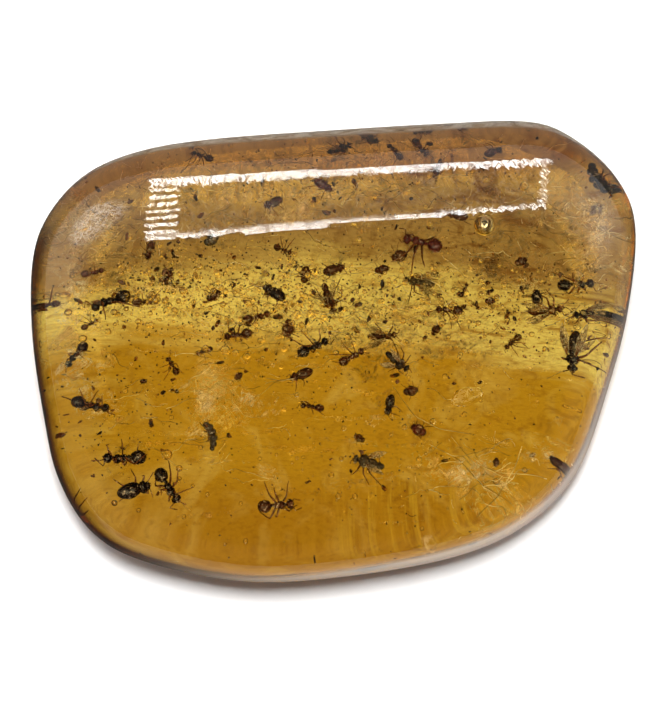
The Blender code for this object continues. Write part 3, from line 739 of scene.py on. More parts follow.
def silvered_material():
    """The wall of a large bubble close under the skin, which mirrors the room."""
    made, tree, shader = new_material("silvered_hollow")
    dull = tree.noise(tree.here(), 900.0, 3.0).over(0.45, 0.7)
    tree.fill(shader, {
        "Base Color": (0.72, 0.74, 0.78), "Metallic": 0.65, "Roughness": 0.06 + dull * 0.25,
        "IOR": WALL_IOR, "Transmission Weight": 1.0,
    })
    return made


def shell_material(name, base, pale, patchy=1.0):
    """An insect's horny shell, clouded in places by the thin film of air around it, whose pale look is
    painted as glints.
    """
    made, tree, shader = new_material(name)
    where = tree.here()
    patches = tree.noise(where, 1500.0, 3.0, 0.6).over(0.54, 0.68)
    # Painted glints: pale patches that stand in for light caught by the real air film
    glinting_film = tree.noise(where, 1500.0, 3.0, 0.6, 1.0).over(0.59, 0.67)
    lighter = [min(1.0, part * 3.0 + 0.008) for part in base]
    hue = tree.mix(patches * (0.8 * patchy), base, lighter)
    tree.fill(shader, {
        "Base Color": tree.mix(glinting_film * (0.75 * patchy), hue, pale),
        "Roughness": 0.16 + patches * 0.25,
        "Specular IOR Level": 0.35,
        "Normal": tree.bump(tree.noise(where, 7000.0, 3.0), 0.00004, 0.6),
    })
    return made


def wing_material(settings):
    """A clear smoky membrane with a cellular pattern of veins."""
    made, tree, shader = new_material("insect_wing")
    inputs = {"Vector": tree.here(), "Scale": 1900.0}
    cells = tree.node("ShaderNodeTexVoronoi", {"feature": "DISTANCE_TO_EDGE"}, inputs).flow()
    veins = 1.0 - cells.over(0.02, 0.08)
    tree.fill(shader, {
        "Base Color": tree.mix(veins, settings.wing_colour, settings.vein_colour),
        "Alpha": 0.24 + veins * 0.40,
        "Roughness": 0.25,
    })
    return made


def grain_material(name, dark, light, scale=900.0):
    """Crumbs of bark, dust and insect, each its own shade."""
    made, tree, shader = new_material(name)
    shade = tree.noise(tree.here(), scale).over(0.40, 0.68)
    tree.fill(shader, {"Base Color": tree.mix(shade, dark, light), "Roughness": 0.6})
    return made


def veil_material(name, strength, light, dark):
    """A torn, cloudy film in the resin, thin enough to see through."""
    made, tree, shader = new_material(name)
    where = tree.here()
    across, along, _ = tree.axes(tree.kept("sheet"))
    inward = (across * (1.0 - across) * along * (1.0 - along) * 16.0).over(0.02, 0.6)
    torn = tree.noise(where, 420.0, 4.0, 0.72, 1.5).over(0.44, 0.70)
    fibres = tree.drawn_noise(where, (0.0035, 0.0005, 0.002), 2.0, 0.7, 0.6, FIBRE_TURN).over(0.40, 0.60)
    shade = tree.noise(where, 160.0).over(0.4, 0.6)
    tree.fill(shader, {
        "Base Color": tree.mix(shade, light, dark),
        "Alpha": inward * torn * (0.35 + fibres * 0.65) * strength,
        "Roughness": 0.5,
    })
    return made


def glow_material(name, glow, strength):
    """A black surface that shines evenly, or by a pattern drawn in its tree."""
    made, tree, shader = new_material(name)
    tree.fill(shader, {
        "Base Color": BLACK,
        "Specular IOR Level": 0.0,
        "Emission Strength": strength,
        "Emission Color": glow(tree) if callable(glow) else glow,
    })
    return made


# ---------------------------------------------------------------- the block

def outline_radius():
    """Angles and radii of the smooth closed curve through OUTLINE, for numpy.interp."""
    points = np.array(OUTLINE) * (LENGTH / OUTLINE_LENGTH)
    count = len(points)
    per_span = AROUND_SAMPLES // count + 1
    curve = []
    for i in range(count):
        a, b, c, d = (points[(i + k) % count] for k in (-1, 0, 1, 2))
        for t in np.arange(per_span) / per_span:
            squared = (2 * a - 5 * b + 4 * c - d) * t**2
            cubed = (3 * b - a - 3 * c + d) * t**3
            curve.append(0.5 * (2 * b + (c - a) * t + squared + cubed))
    curve = np.array(curve)
    angles = np.arctan2(curve[:, 1], curve[:, 0])
    order = np.argsort(angles)
    return angles[order], np.hypot(curve[:, 0], curve[:, 1])[order]


def ring_shares():
    """How far out and how far up each ring of the upper skin lies, from the girdle to the middle."""
    turn = np.linspace(-1.0, 1.0, UPPER_STEPS + 1)[1:-1]
    turn = math.pi / 4 * (1.0 + np.sign(turn) * np.abs(turn) ** RING_CROWDING)
    return np.cos(turn), np.sin(turn)


def ring_quads(rings, sides):
    """Faces between rings of points that are numbered one ring after the other."""
    return [
        (ring * sides + k, ring * sides + near, (ring + 1) * sides + near, (ring + 1) * sides + k)
        for ring in range(rings - 1)
        for k, near in ((k, (k + 1) % sides) for k in range(sides))
    ]


@functools.cache
def block_skin():
    """The block's outer surface as (points, faces), ground flat underneath."""
    angles, radii = outline_radius()
    theta = np.linspace(-math.pi, math.pi, RIM_STEPS, endpoint=False)
    radius = np.interp(theta, angles, radii, period=2 * math.pi)
    crease = np.maximum(0.0, np.cos(theta - CREASE_AT)) ** 2
    square = SQUARE_FACE + SQUARE_CREASE * crease
    rings = []
    ground = GIRDLE_HEIGHT / (GIRDLE_HEIGHT + BASE_CUT)
    for fall in np.linspace(ground, 0.0, LOWER_STEPS):
        reach = radius * (1.0 - fall**SQUARE_UNDER) ** (1.0 / SQUARE_UNDER)
        height = np.full_like(reach, GIRDLE_HEIGHT * (1.0 - fall / ground))
        rings.append((reach * np.cos(theta), reach * np.sin(theta), height))
    for out, rise in zip(*ring_shares()):
        size = (out**square + rise**square) ** (1.0 / square)
        across, up = out / size, rise / size
        reach = radius * across * (1.0 - (WALL_DRAW + WALL_DRAW_EXTRA * crease) * up)
        x, y = reach * np.cos(theta), reach * np.sin(theta) + FACE_SHIFT * up**2
        rings.append((x, y, face_height(x, y, up)))
    points = np.concatenate([np.stack(ring, axis=1) for ring in rings]).tolist()
    top = len(points)
    points.append([0.0, FACE_SHIFT, float(face_height(0.0, FACE_SHIFT, 1.0))])
    faces = [tuple(reversed(range(RIM_STEPS))), *ring_quads(len(rings), RIM_STEPS)]
    last = top - RIM_STEPS
    faces += [(last + k, last + (k + 1) % RIM_STEPS, top) for k in range(RIM_STEPS)]
    return points, faces


def face_height(x, y, up):
    """Height of the upper skin, with the face rolled down at the back."""
    behind = (y - ROLL_SLOPE * x - ROLL_FROM) / (ROLL_TO - ROLL_FROM)
    roll = (1.0 - np.maximum(0.0, behind) ** ROLL_SQUARE) ** (1.0 / ROLL_SQUARE)
    return GIRDLE_HEIGHT + (THICKNESS - GIRDLE_HEIGHT) * up * roll


@functools.cache
def skin_tree():
    return BVHTree.FromPolygons(*block_skin())


def depth_inside(point):
    """How far a point lies under the skin, in metres; negative outside."""
    spot, normal, _, distance = skin_tree().find_nearest(point)
    return -distance if (point - spot).dot(normal) > 0 else distance


def free_place(rng, clouds, margin, low=2.5, high=24.5):
    """A place drawn from the clouds, between two heights, clear of the skin and the insects, in mm."""
    weights = [cloud[4] for cloud in clouds]
    while True:
        x, y, half_x, half_y, _ = rng.choices(clouds, weights)[0]
        point = Vector((rng.gauss(x, half_x * 0.5), rng.gauss(y, half_y * 0.5), rng.uniform(low, high)))
        point *= MM
        if depth_inside(point) < margin * MM:
            continue
        if all((point - Vector(row[3:6]) * MM).length > row[6] * MM * 0.5 for row in INSECTS):
            return point


def rind_sheet():
    """The back of the wall, just under the skin, as (points, faces)."""
    points, faces = block_skin()
    inner = [Vector((x * RIND_INSET, y * RIND_INSET, z - RIND_DEPTH)) for x, y, z in points]
    low, high, front = (limit * MM for limit in RIND_SPAN)
    kept = [
        face for face in faces
        if len(face) == 4 and all(low < points[k][2] < high and points[k][1] > front for k in face)
    ]
    used = sorted({k for face in kept for k in face})
    place = {k: i for i, k in enumerate(used)}
    return [inner[k] for k in used], [tuple(place[k] for k in face) for face in kept]


# ---------------------------------------------------------------- solids made of rings

class Solids:
    """Closed shells gathered into one mesh, each face with the number of its material."""

    def __init__(self):
        self.points = []
        self.faces = []
        self.marks = []

    def add(self, points, faces, mark=0):
        """Adds a shell, with one mark for all its faces or one for each."""
        first = len(self.points)
        self.points += points
        self.faces += [tuple(first + k for k in face) for face in faces]
        self.marks += mark if isinstance(mark, list) else [mark] * len(faces)

    def stack(self, rings, mark=0, start=None, end=None):
        """Rings of points joined into a closed shell, with a pole or a flat cap at each end."""
        sides = len(rings[0])
        points = [point for ring in rings for point in ring]
        faces = ring_quads(len(rings), sides)
        last = (len(rings) - 1) * sides
        for pole, base, turned in ((start, 0, True), (end, last, False)):
            around = [base + k for k in range(sides)]
            if turned:
                around.reverse()
            if pole is None:
                faces.append(tuple(around))
                continue
            points.append(pole)
            faces += [(around[k], around[(k + 1) % sides], len(points) - 1) for k in range(sides)]
        self.add(points, faces, mark)

    def ball(self, shape, sides, rings, mark=0):
        """A sphere whose points are moved by a function of (x, y, z)."""
        stack = []
        for ring in range(1, rings):
            out = math.pi * ring / rings
            stack.append([
                shape(-math.cos(out), math.sin(out) * math.cos(turn), math.sin(out) * math.sin(turn))
                for turn in (math.tau * k / sides for k in range(sides))
            ])
        self.stack(stack, mark, shape(-1.0, 0.0, 0.0), shape(1.0, 0.0, 0.0))

    def tube(self, points, radii, mark=0, sides=LIMB_SIDES):
        """A closed round tube through points, with a radius at each."""
        rings = []
        side = Vector((0.03, 0.04, 1.0))
        turns = [math.tau * k / sides for k in range(sides)]
        for i, point in enumerate(points):
            ahead = (points[min(i + 1, len(points) - 1)] - points[max(i - 1, 0)]).normalized()
            side = (side - ahead * side.dot(ahead)).normalized()
            up = ahead.cross(side)
            rings.append([point + (side * math.cos(t) + up * math.sin(t)) * radii[i] for t in turns])
        self.stack(rings, mark)

    def turn_inside_out(self):
        self.faces = [tuple(reversed(face)) for face in self.faces]

    def mesh(self, name, materials, place=None):
        made = bpy.data.meshes.new(name)
        points = [place @ point for point in self.points] if place else self.points
        made.from_pydata(points, [], self.faces)
        for material in materials:
            made.materials.append(material)
        made.polygons.foreach_set("material_index", self.marks)
        made.polygons.foreach_set("use_smooth", [True] * len(self.faces))
        return made


RESIN, HOLLOW, SILVERED = range(3)


def crack(made, row, seed):
    """A lens of air with a ragged rim, left in the resin as a hollow."""
    x, y, height, long, wide, thick, heading, tilt = row
    turn = Euler((math.radians(tilt), 0.0, math.radians(heading))).to_matrix()

    def ragged(along, across, up):
        where = Vector((along, across, up))
        reach = 1.0 + 0.3 * noise.noise(where * 1.9 + Vector((seed, 0.0, 0.0)))
        wave = 0.12 * noise.noise(where * 1.3 + Vector((0.0, seed, 0.0)))
        local = Vector((along * long * reach, across * wide * reach, up * thick + wave))
        return (turn @ local + Vector((x, y, height))) * MM

    made.ball(ragged, CRACK_STEPS, CRACK_STEPS, HOLLOW)


# ---------------------------------------------------------------- Geometry Nodes

def new_geometry_tree(name, inputs):
    """A modifier tree with named inputs: (tree, its input node, socket identifiers by name)."""
    group = bpy.data.node_groups.new(name, "GeometryNodeTree")
    group.interface.new_socket("Geometry", in_out="INPUT", socket_type="NodeSocketGeometry")
    keys = {}
    for label, kind, default in [*inputs, ("Seed", "Int", 1), ("Material", "Material", None)]:
        socket = group.interface.new_socket(label, in_out="INPUT", socket_type="NodeSocket" + kind)
        if default is not None:
            socket.default_value = default
        keys[label] = socket.identifier
    group.interface.new_socket("Geometry", in_out="OUTPUT", socket_type="NodeSocketGeometry")
    tree = Tree(group)
    return tree, tree.node("NodeGroupInput"), keys


def random_vector(tree, low, high, seed):
    settings, inputs = {"data_type": "FLOAT_VECTOR"}, {0: low, 1: high, "Seed": seed}
    return tree.node("FunctionNodeRandomValue", settings, inputs).flow(0)


def random_number(tree, low, high, seed):
    settings, inputs = {"data_type": "FLOAT"}, {2: low, 3: high, "Seed": seed}
    return tree.node("FunctionNodeRandomValue", settings, inputs).flow(1)


def spread(tree, places, shape, turn, size):
    """A shape on every place, turned and sized, as real geometry."""
    made = tree.node("GeometryNodeInstanceOnPoints", None, {
        "Points": places, "Instance": shape, "Rotation": turn, "Scale": size,
    })
    return tree.node("GeometryNodeRealizeInstances", None, {"Geometry": made.flow()}).flow()


def strayed(tree, geometry, scale, detail, amount):
    """Geometry whose points are moved by smooth noise, up to half the amount each way."""
    where = tree.node("GeometryNodeInputPosition").flow()
    wander = tree.node("ShaderNodeTexNoise", None, {"Vector": where, "Scale": scale, "Detail": detail})
    centred = {0: wander.flow("Color"), 1: (0.5, 0.5, 0.5)}
    push = tree.node("ShaderNodeVectorMath", {"operation": "SUBTRACT"}, centred)
    push = tree.node("ShaderNodeVectorMath", {"operation": "SCALE"}, {0: push.flow(), "Scale": amount})
    return tree.node("GeometryNodeSetPosition", None, {"Geometry": geometry, "Offset": push.flow()}).flow()


def close_tree(tree, geometry, given):
    """Ends a tree with real, smooth geometry that holds its material."""
    real = tree.node("GeometryNodeRealizeInstances", None, {"Geometry": geometry}).flow()
    real = tree.node("GeometryNodeSetShadeSmooth", None, {"Geometry": real}).flow()
    inputs = {"Geometry": real, "Material": given.flow("Material")}
    done = tree.node("GeometryNodeSetMaterial", None, inputs).flow()
    tree.node("NodeGroupOutput", None, {"Geometry": done})


def grains_tree():
    """A lumpy grain on every point, each turned and sized at random."""
    tree, given, keys = new_geometry_tree("CopalGrains", [
        ("Smallest", "Float", 0.0001), ("Largest", "Float", 0.0003), ("Shape", "Vector", (1.0, 1.0, 1.0)),
        ("Lumpiness", "Float", 0.3), ("Facets", "Int", 2),
    ])
    inputs = {"Radius": 1.0, "Subdivisions": given.flow("Facets")}
    ball = tree.node("GeometryNodeMeshIcoSphere", None, inputs).flow()
    inputs = {"Geometry": ball, "Scale": given.flow("Shape")}
    grain = tree.node("GeometryNodeTransform", None, inputs).flow()
    seed, smallest, largest = (given.flow(name) for name in ("Seed", "Smallest", "Largest"))
    turn = random_vector(tree, (0.0, 0.0, 0.0), (math.tau, math.tau, math.tau), seed)
    share = random_number(tree, 0.0, 1.0, seed) ** MOSTLY_SMALL
    real = spread(tree, given.flow("Geometry"), grain, turn, smallest + share * (largest - smallest))
    lumpy = strayed(tree, real, LUMP_SCALE, 1.0, given.flow("Lumpiness") * smallest * 2.0)
    close_tree(tree, lumpy, given)
    return tree.node_tree, keys


def threads_tree():
    """A fine bent fibre on every point."""
    tree, given, keys = new_geometry_tree("CopalThreads", [
        ("Shortest", "Float", 0.002), ("Longest", "Float", 0.01), ("Thickness", "Float", 0.00004),
        ("Waviness", "Float", 0.002), ("Slope", "Float", 0.5), ("Joints", "Int", 18),
    ])
    inputs = {"Start": (-0.5, 0.0, 0.0), "End": (0.5, 0.0, 0.0)}
    line = tree.node("GeometryNodeCurvePrimitiveLine", None, inputs).flow()
    inputs = {"Curve": line, "Count": given.flow("Joints")}
    line = tree.node("GeometryNodeResampleCurve", None, inputs).flow()
    slope, seed = given.flow("Slope"), given.flow("Seed")
    low = tree.vector(0.0, 0.0 - slope * 0.3, 0.0 - slope)
    turn = random_vector(tree, low, tree.vector(0.0, slope * 0.3, slope), seed)
    size = random_number(tree, given.flow("Shortest"), given.flow("Longest"), seed)
    real = spread(tree, given.flow("Geometry"), line, turn, size)
    wavy = strayed(tree, real, WAVE_SCALE, 2.0, given.flow("Waviness") * 4.0)
    inputs = {"Resolution": THREAD_SIDES, "Radius": given.flow("Thickness")}
    ring = tree.node("GeometryNodeCurvePrimitiveCircle", None, inputs).flow()
    inputs = {"Curve": wavy, "Profile Curve": ring, "Fill Caps": True}
    close_tree(tree, tree.node("GeometryNodeCurveToMesh", None, inputs).flow(), given)
    return tree.node_tree, keys


def veils_tree():
    """A crumpled film on every point, with its own sheet coordinates kept for its material."""
    tree, given, keys = new_geometry_tree("CopalVeils", [
        ("Smallest", "Float", 0.003), ("Largest", "Float", 0.009), ("Shape", "Vector", (1.0, 0.35, 1.0)),
        ("Crumple", "Float", 0.001), ("Turn", "Vector", (0.6, 0.5, 0.7)),
    ])
    inputs = {"Size X": 1.0, "Size Y": 1.0, "Vertices X": VEIL_STEPS[0], "Vertices Y": VEIL_STEPS[1]}
    grid = tree.node("GeometryNodeMeshGrid", None, inputs)
    settings = {"data_type": "FLOAT_VECTOR", "domain": "POINT"}
    inputs = {"Geometry": grid.flow(), "Name": "sheet", "Value": grid.flow("UV Map")}
    sheet = tree.node("GeometryNodeStoreNamedAttribute", settings, inputs).flow()
    inputs = {"Geometry": sheet, "Scale": given.flow("Shape")}
    sheet = tree.node("GeometryNodeTransform", None, inputs).flow()
    inputs = {0: given.flow("Turn"), "Scale": -1.0}
    back = tree.node("ShaderNodeVectorMath", {"operation": "SCALE"}, inputs).flow()
    seed = given.flow("Seed")
    turn = random_vector(tree, back, given.flow("Turn"), seed)
    size = random_number(tree, given.flow("Smallest"), given.flow("Largest"), seed)
    real = spread(tree, given.flow("Geometry"), sheet, turn, size)
    close_tree(tree, strayed(tree, real, FOLD_SCALE, 3.0, given.flow("Crumple") * 2.0), given)
    return tree.node_tree, keys


def grow(name, places, tree_and_keys, values):
    """The plain mesh that a Geometry Nodes tree makes on a list of places."""
    group, keys = tree_and_keys
    seeds = bpy.data.meshes.new(name + "_places")
    seeds.from_pydata(places, [], [])
    carrier = bpy.data.objects.new(name + "_places", seeds)
    bpy.context.scene.collection.objects.link(carrier)
    modifier = carrier.modifiers.new("Grow", "NODES")
    modifier.node_group = group
    for label, value in values.items():
        modifier[keys[label]] = value
    carrier.update_tag()
    graph = bpy.context.evaluated_depsgraph_get()
    mesh = bpy.data.meshes.new_from_object(carrier.evaluated_get(graph))
    mesh.name = name
    carrier.modifiers.remove(modifier)
    bpy.data.objects.remove(carrier)
    bpy.data.meshes.remove(seeds)
    return mesh


def add_piece(name, mesh):
    """Links a finished mesh as a piece of the object."""
    piece = bpy.data.objects.new(name, mesh)
    bpy.context.scene.collection.objects.link(piece)
    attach(piece, BODY)
    return piece


# ---------------------------------------------------------------- insects

def segment(made, centre, radii, bands, mark):
    """An egg-shaped body segment with stepped bands, drawn out along X."""

    def banded(x, y, z):
        share = 0.5 - 0.5 * x
        step = 1.0 - BAND_STEP * (share * bands % 1.0) if bands > 1 else 1.0
        step *= 1.0 + DENT * noise.noise(Vector((x, y, z)) * 2.1 + centre * 9.0)
        return Vector((x * radii[0], y * radii[1] * step, z * radii[2] * step)) + centre

    made.ball(banded, SEGMENT_SIDES, SEGMENT_RINGS, mark)


def bent(points, steps=4):
    """Points along a limb, with its joints slightly rounded."""
    made = [points[0]]
    for i in range(1, len(points)):
        for k in range(1, steps + 1):
            made.append(points[i - 1].lerp(points[i], k / steps))
    return [
        p if i in (0, len(made) - 1) else p * 0.6 + (made[i - 1] + made[i + 1]) * 0.2
        for i, p in enumerate(made)
    ]


def leg(made, hip, knee, foot):
    """Thigh, shin and a slack row of foot joints."""
    toe = foot + (foot - knee) * 0.35 + Vector((0.02, 0.0, 0.03))
    radii = [thick * share for thick, shares in LEG_THICKNESS for share in shares]
    made.tube(bent([hip, knee, foot, toe]), radii, LIMB)


def wing(made, root, tip, half_width, side):
    """A thin closed blade of membrane with raised veins."""
    along = (tip - root).normalized()
    across = Vector((0.0, 0.0, 1.0)).cross(along).normalized()
    up = along.cross(across)
    long = (tip - root).length

    def blade(share, spread_out, rise):
        taper = 0.35 + 0.65 * math.sin(math.pi * min(1.0, share * 0.9 + 0.08))
        lift = 0.02 * math.sin(share * 5.0 + spread_out * side * 2.0)
        flat = spread_out * half_width * taper
        return root + along * share * long + across * flat + up * (rise + lift)

    made.ball(lambda x, y, z: blade(0.5 + 0.5 * x, y, z * WING_THICKNESS), *WING_STEPS, MEMBRANE)
    for offset, reach in WING_VEINS:
        shares = [0.03 + reach * k / VEIN_STEPS for k in range(VEIN_STEPS + 1)]
        points = [blade(share, offset * side * min(1.0, share * 2.5), 0.0) for share in shares]
        made.tube(points, [0.009 - 0.005 * k / VEIN_STEPS for k in range(VEIN_STEPS + 1)], LIMB, VEIN_SIDES)


SHELL, LIMB, MEMBRANE, EYE = range(4)


def head_parts(made, parts, side):
    """An eye and a jaw on one side of the head."""
    x, z, long, wide, high, _ = parts["segments"][0]
    eye_at = Vector((x + long * 0.35, side * wide * 0.82, z + high * 0.25))
    segment(made, eye_at, (long * 0.26, wide * 0.24, high * 0.30), 1, EYE)
    x, y, z = parts["jaws"]
    jaw = [
        Vector((x - 0.03, side * y, z + 0.02)),
        Vector((x + 0.02, side * y * 1.3, z)),
        Vector((x + 0.05, side * y * 0.3, z - 0.01)),
    ]
    made.tube(jaw, JAW_THICKNESS, LIMB)


def insect_body(shape, rng):
    """One insect of unit length, its limbs strayed as it struggled."""
    parts = ANATOMY[shape]
    made = Solids()

    def astray(point, amount):
        return Vector(point) + Vector([rng.uniform(-amount, amount) for _ in range(3)])

    sweep = Vector((rng.uniform(SWEEP[0], SWEEP[1]), rng.uniform(-SWEEP[2], SWEEP[2]), 0.0))
    for x, z, long, wide, high, bands in parts["segments"]:
        segment(made, Vector((x, 0.0, z)), (long, wide * STOUT, high * STOUT), bands, SHELL)
    for side in (1, -1):
        mirror = Vector((1.0, side, 1.0))
        head_parts(made, parts, side)
        for root, elbow, tip in parts["antennae"]:
            bend = [
                Vector(root) * mirror, astray(elbow, LIMB_SPREAD * 0.7) * mirror,
                astray(tip, LIMB_SPREAD * 1.4) * mirror,
            ]
            made.tube(bent(bend, 5), [FEELER * share for share in FEELER_SWELL], LIMB)
        for hip, knee, foot in parts["legs"]:
            knee = astray(knee, LIMB_SPREAD) * mirror + sweep * 0.4
            foot = astray(foot, LIMB_SPREAD * 1.6) * mirror + sweep
            if rng.random() > LOST_LIMBS:
                leg(made, Vector(hip) * mirror, knee, foot)
        for root, tip, half_width in parts["wings"]:
            wing(made, Vector(root) * mirror, astray(tip, LIMB_SPREAD) * mirror, half_width, side)
    return made


def insect_place(x, y, height, length, heading, roll):
    return (
        Matrix.Translation(Vector((x, y, height)) * MM)
        @ Matrix.Rotation(math.radians(heading), 4, "Z")
        @ Matrix.Rotation(math.radians(roll), 4, "X")
        @ Matrix.Scale(length * MM, 4)
    )


def insect_materials(settings):
    """Shell materials by colour, and the ones that every insect shares."""
    shells = {
        tone: shell_material(f"{tone}_shell", getattr(settings, tone), settings.glinting_film)
        for tone in ("black", "brown", "red", "grey")
    }
    shared = [
        # The limbs' own red-brown is warmed with painted glow of light shining through them
        shell_material("insect_limb", settings.limb_with_glow, settings.glinting_film, 0.5),
        wing_material(settings),
        shell_material("insect_eye", settings.eye, settings.eye_glinting_film, 0.5),
    ]
    return shells, shared


# ---------------------------------------------------------------- settings

def tint(name, description, default):
    return FloatVectorProperty(
        name=name, description=description, subtype="COLOR", default=default, min=0.0, max=1.0,
    )


def amount(name, description, default, highest=100.0):
    return FloatProperty(name=name, description=description, default=default, min=0.0, max=highest)


def length(name, description, default):
    return FloatProperty(name=name, description=description, default=default, unit="LENGTH", precision=7)


def number(name, description, default):
    return IntProperty(name=name, description=description, default=default, min=0)


class CopalBlockSettings(bpy.types.PropertyGroup):
    """Sizes and colours of the clear block."""

    ior: amount("IOR", "How strongly the resin bends light", 1.54, 2.0)
    polish: amount("Polish", "Roughness of the polished skin", 0.018, 1.0)
    scratch_depth: length("Scratch depth", "Depth of the fine polishing scratches", 0.0000015)
    depth_colour: tint("Depth colour", "Colour that the resin keeps as it gets deeper", (0.940, 0.775, 0.120))
    depth_density: amount("Depth density", "How fast the depth colour builds up, per metre", 62.0)
    band_tint: tint("Band tint", "Clear yellow band across the middle", (0.96, 0.88, 0.465))
    front_tint: tint("Front tint", "Deep orange front", (0.60, 0.385, 0.034))
    back_tint: tint("Back tint", "Brownish rolled back", (0.465, 0.335, 0.175))
    brow_tint: tint("Brow tint", "Darker strip along the far back", (0.50, 0.30, 0.28))
    # Painted shade that darkens the left and front walls
    edge_tint: tint("Edge tint", "Dark left and front edges", (0.05, 0.018, 0.006))
    dim_tint: tint("Dim tint", "Duller ends of the clear band", (0.80, 0.80, 0.77))
    drawn_tint: tint("Drawn tint", "Golden streaks low in front", (0.80, 0.62, 0.10))
    cloud_tint: tint("Cloud tint", "Brown clouds in the resin", (0.52, 0.36, 0.17))
    rind_light: tint("Rind", "Palest part of the weathered crust", (0.80, 0.75, 0.68))
    rind_dark: tint("Rind shade", "Darker part of the crust", (0.40, 0.31, 0.22))
    rind_stain: tint("Rind stain", "Dark stains in the crust", (0.05, 0.03, 0.02))
    bubbles: number("Bubbles", "Number of small air bubbles", 1150)
    bubble_smallest: length("Smallest bubble", "Radius of the smallest bubbles", 0.00013)
    bubble_largest: length("Largest bubble", "Radius of the largest bubbles", 0.00048)


class CopalInsectSettings(bpy.types.PropertyGroup):
    """Colours of the insects."""

    black: tint("Black", "Shell of the black insects", (0.010, 0.005, 0.003))
    brown: tint("Brown", "Shell of the brown insects", (0.050, 0.016, 0.006))
    red: tint("Red", "Shell of the red-brown insects", (0.075, 0.016, 0.012))
    grey: tint("Grey", "Shell of the grey insects", (0.045, 0.036, 0.028))
    # The air film on the shells is real; its pale colour is a painted glint
    glinting_film: tint("Air film", "Pale film of air on the shells", (0.60, 0.50, 0.40))
    # Red-brown legs and feelers, their colour warmed as painted glow of light shining through them
    limb_with_glow: tint("Limbs", "Red-brown legs and feelers", (0.12, 0.040, 0.012))
    eye: tint("Eyes", "Dark eyes", (0.010, 0.006, 0.005))
    # Paler patches on the eyes, painted as glints of the air film
    eye_glinting_film: tint("Eye film", "Paler patches on the eyes", (0.10, 0.05, 0.03))
    wing_colour: tint("Wing", "Clear membrane of the wings", (0.72, 0.62, 0.46))
    vein_colour: tint("Vein", "Veins of the wings", (0.10, 0.05, 0.02))


class CopalInclusionSettings(bpy.types.PropertyGroup):
    """Numbers and colours of the finer inclusions."""

    specks: number("Specks", "Number of fine dark specks", 6400)
    crumbs: number("Crumbs", "Number of torn bits of insect and bark", 420)
    threads: number("Threads", "Number of fine fibres", 260)
    tufts: number("Tufts", "Number of short pale fibres", 520)
    veils: number("Veils", "Number of cloudy films", 110)
    streaks: number("Streaks", "Number of long flow streaks", 150)
    clouds: number("Clouds", "Number of brown clouds", 120)
    veil_strength: amount("Veil strength", "How much a cloudy film hides", 0.95, 1.0)
    speck_dark: tint("Dark specks", "Darkest specks", (0.012, 0.005, 0.002))
    speck_light: tint("Light specks", "Lightest specks", (0.24, 0.095, 0.026))
    thread_dark: tint("Dark threads", "Darkest fibres", (0.10, 0.06, 0.02))
    thread_light: tint("Light threads", "Lightest fibres", (0.92, 0.84, 0.62))
    tuft_dark: tint("Tuft shade", "Darkest of the short pale fibres", (0.70, 0.55, 0.34))
    tuft_light: tint("Tuft", "Lightest of the short pale fibres", (1.0, 0.95, 0.82))
    veil_light: tint("Veil", "Pale cloudy films", (0.95, 0.86, 0.66))
    veil_dark: tint("Veil shade", "Darker part of the pale films", (0.70, 0.50, 0.28))
    streak_light: tint("Streak", "Golden flow streaks", (0.90, 0.66, 0.24))
    streak_dark: tint("Streak shade", "Brown flow streaks", (0.30, 0.15, 0.04))
    cloud_light: tint("Cloud", "Paler part of the brown clouds", (0.20, 0.09, 0.03))
    cloud_dark: tint("Cloud shade", "Darker part of the brown clouds", (0.040, 0.015, 0.005))


class CopalStageSettings(bpy.types.PropertyGroup):
    """The table, the lights and the camera."""

    elevation: FloatProperty(
        name="Camera elevation", description="Angle of the camera above the table", subtype="ANGLE",
        default=math.radians(86.0),
    )
    distance: length("Camera distance", "From the camera to the block", 0.6)
    sky: amount("Sky", "Brightness of the wall behind", 0.8)
    sides: amount("Sides", "Brightness of the walls beside", 1.3)
    overhead: amount("Overhead", "Brightness straight above", 0.02)
    top_light: FloatProperty(
        name="Top light", description="Power of the lamp above the table", default=7.0, unit="POWER",
    )
    pad: amount("Light pad", "Brightness of the light pad under the block", 0.96)
    ceiling: amount("Ceiling", "Brightness of the lamps overhead, for what lies in the resin", 7.0)
    softbox: amount("Softbox", "Brightness of the lamp frame that shows in the polish", 26.0)
    floor_colour: tint("Table", "Colour of the table", (0.90, 0.90, 0.90))


# ---------------------------------------------------------------- the object's operators

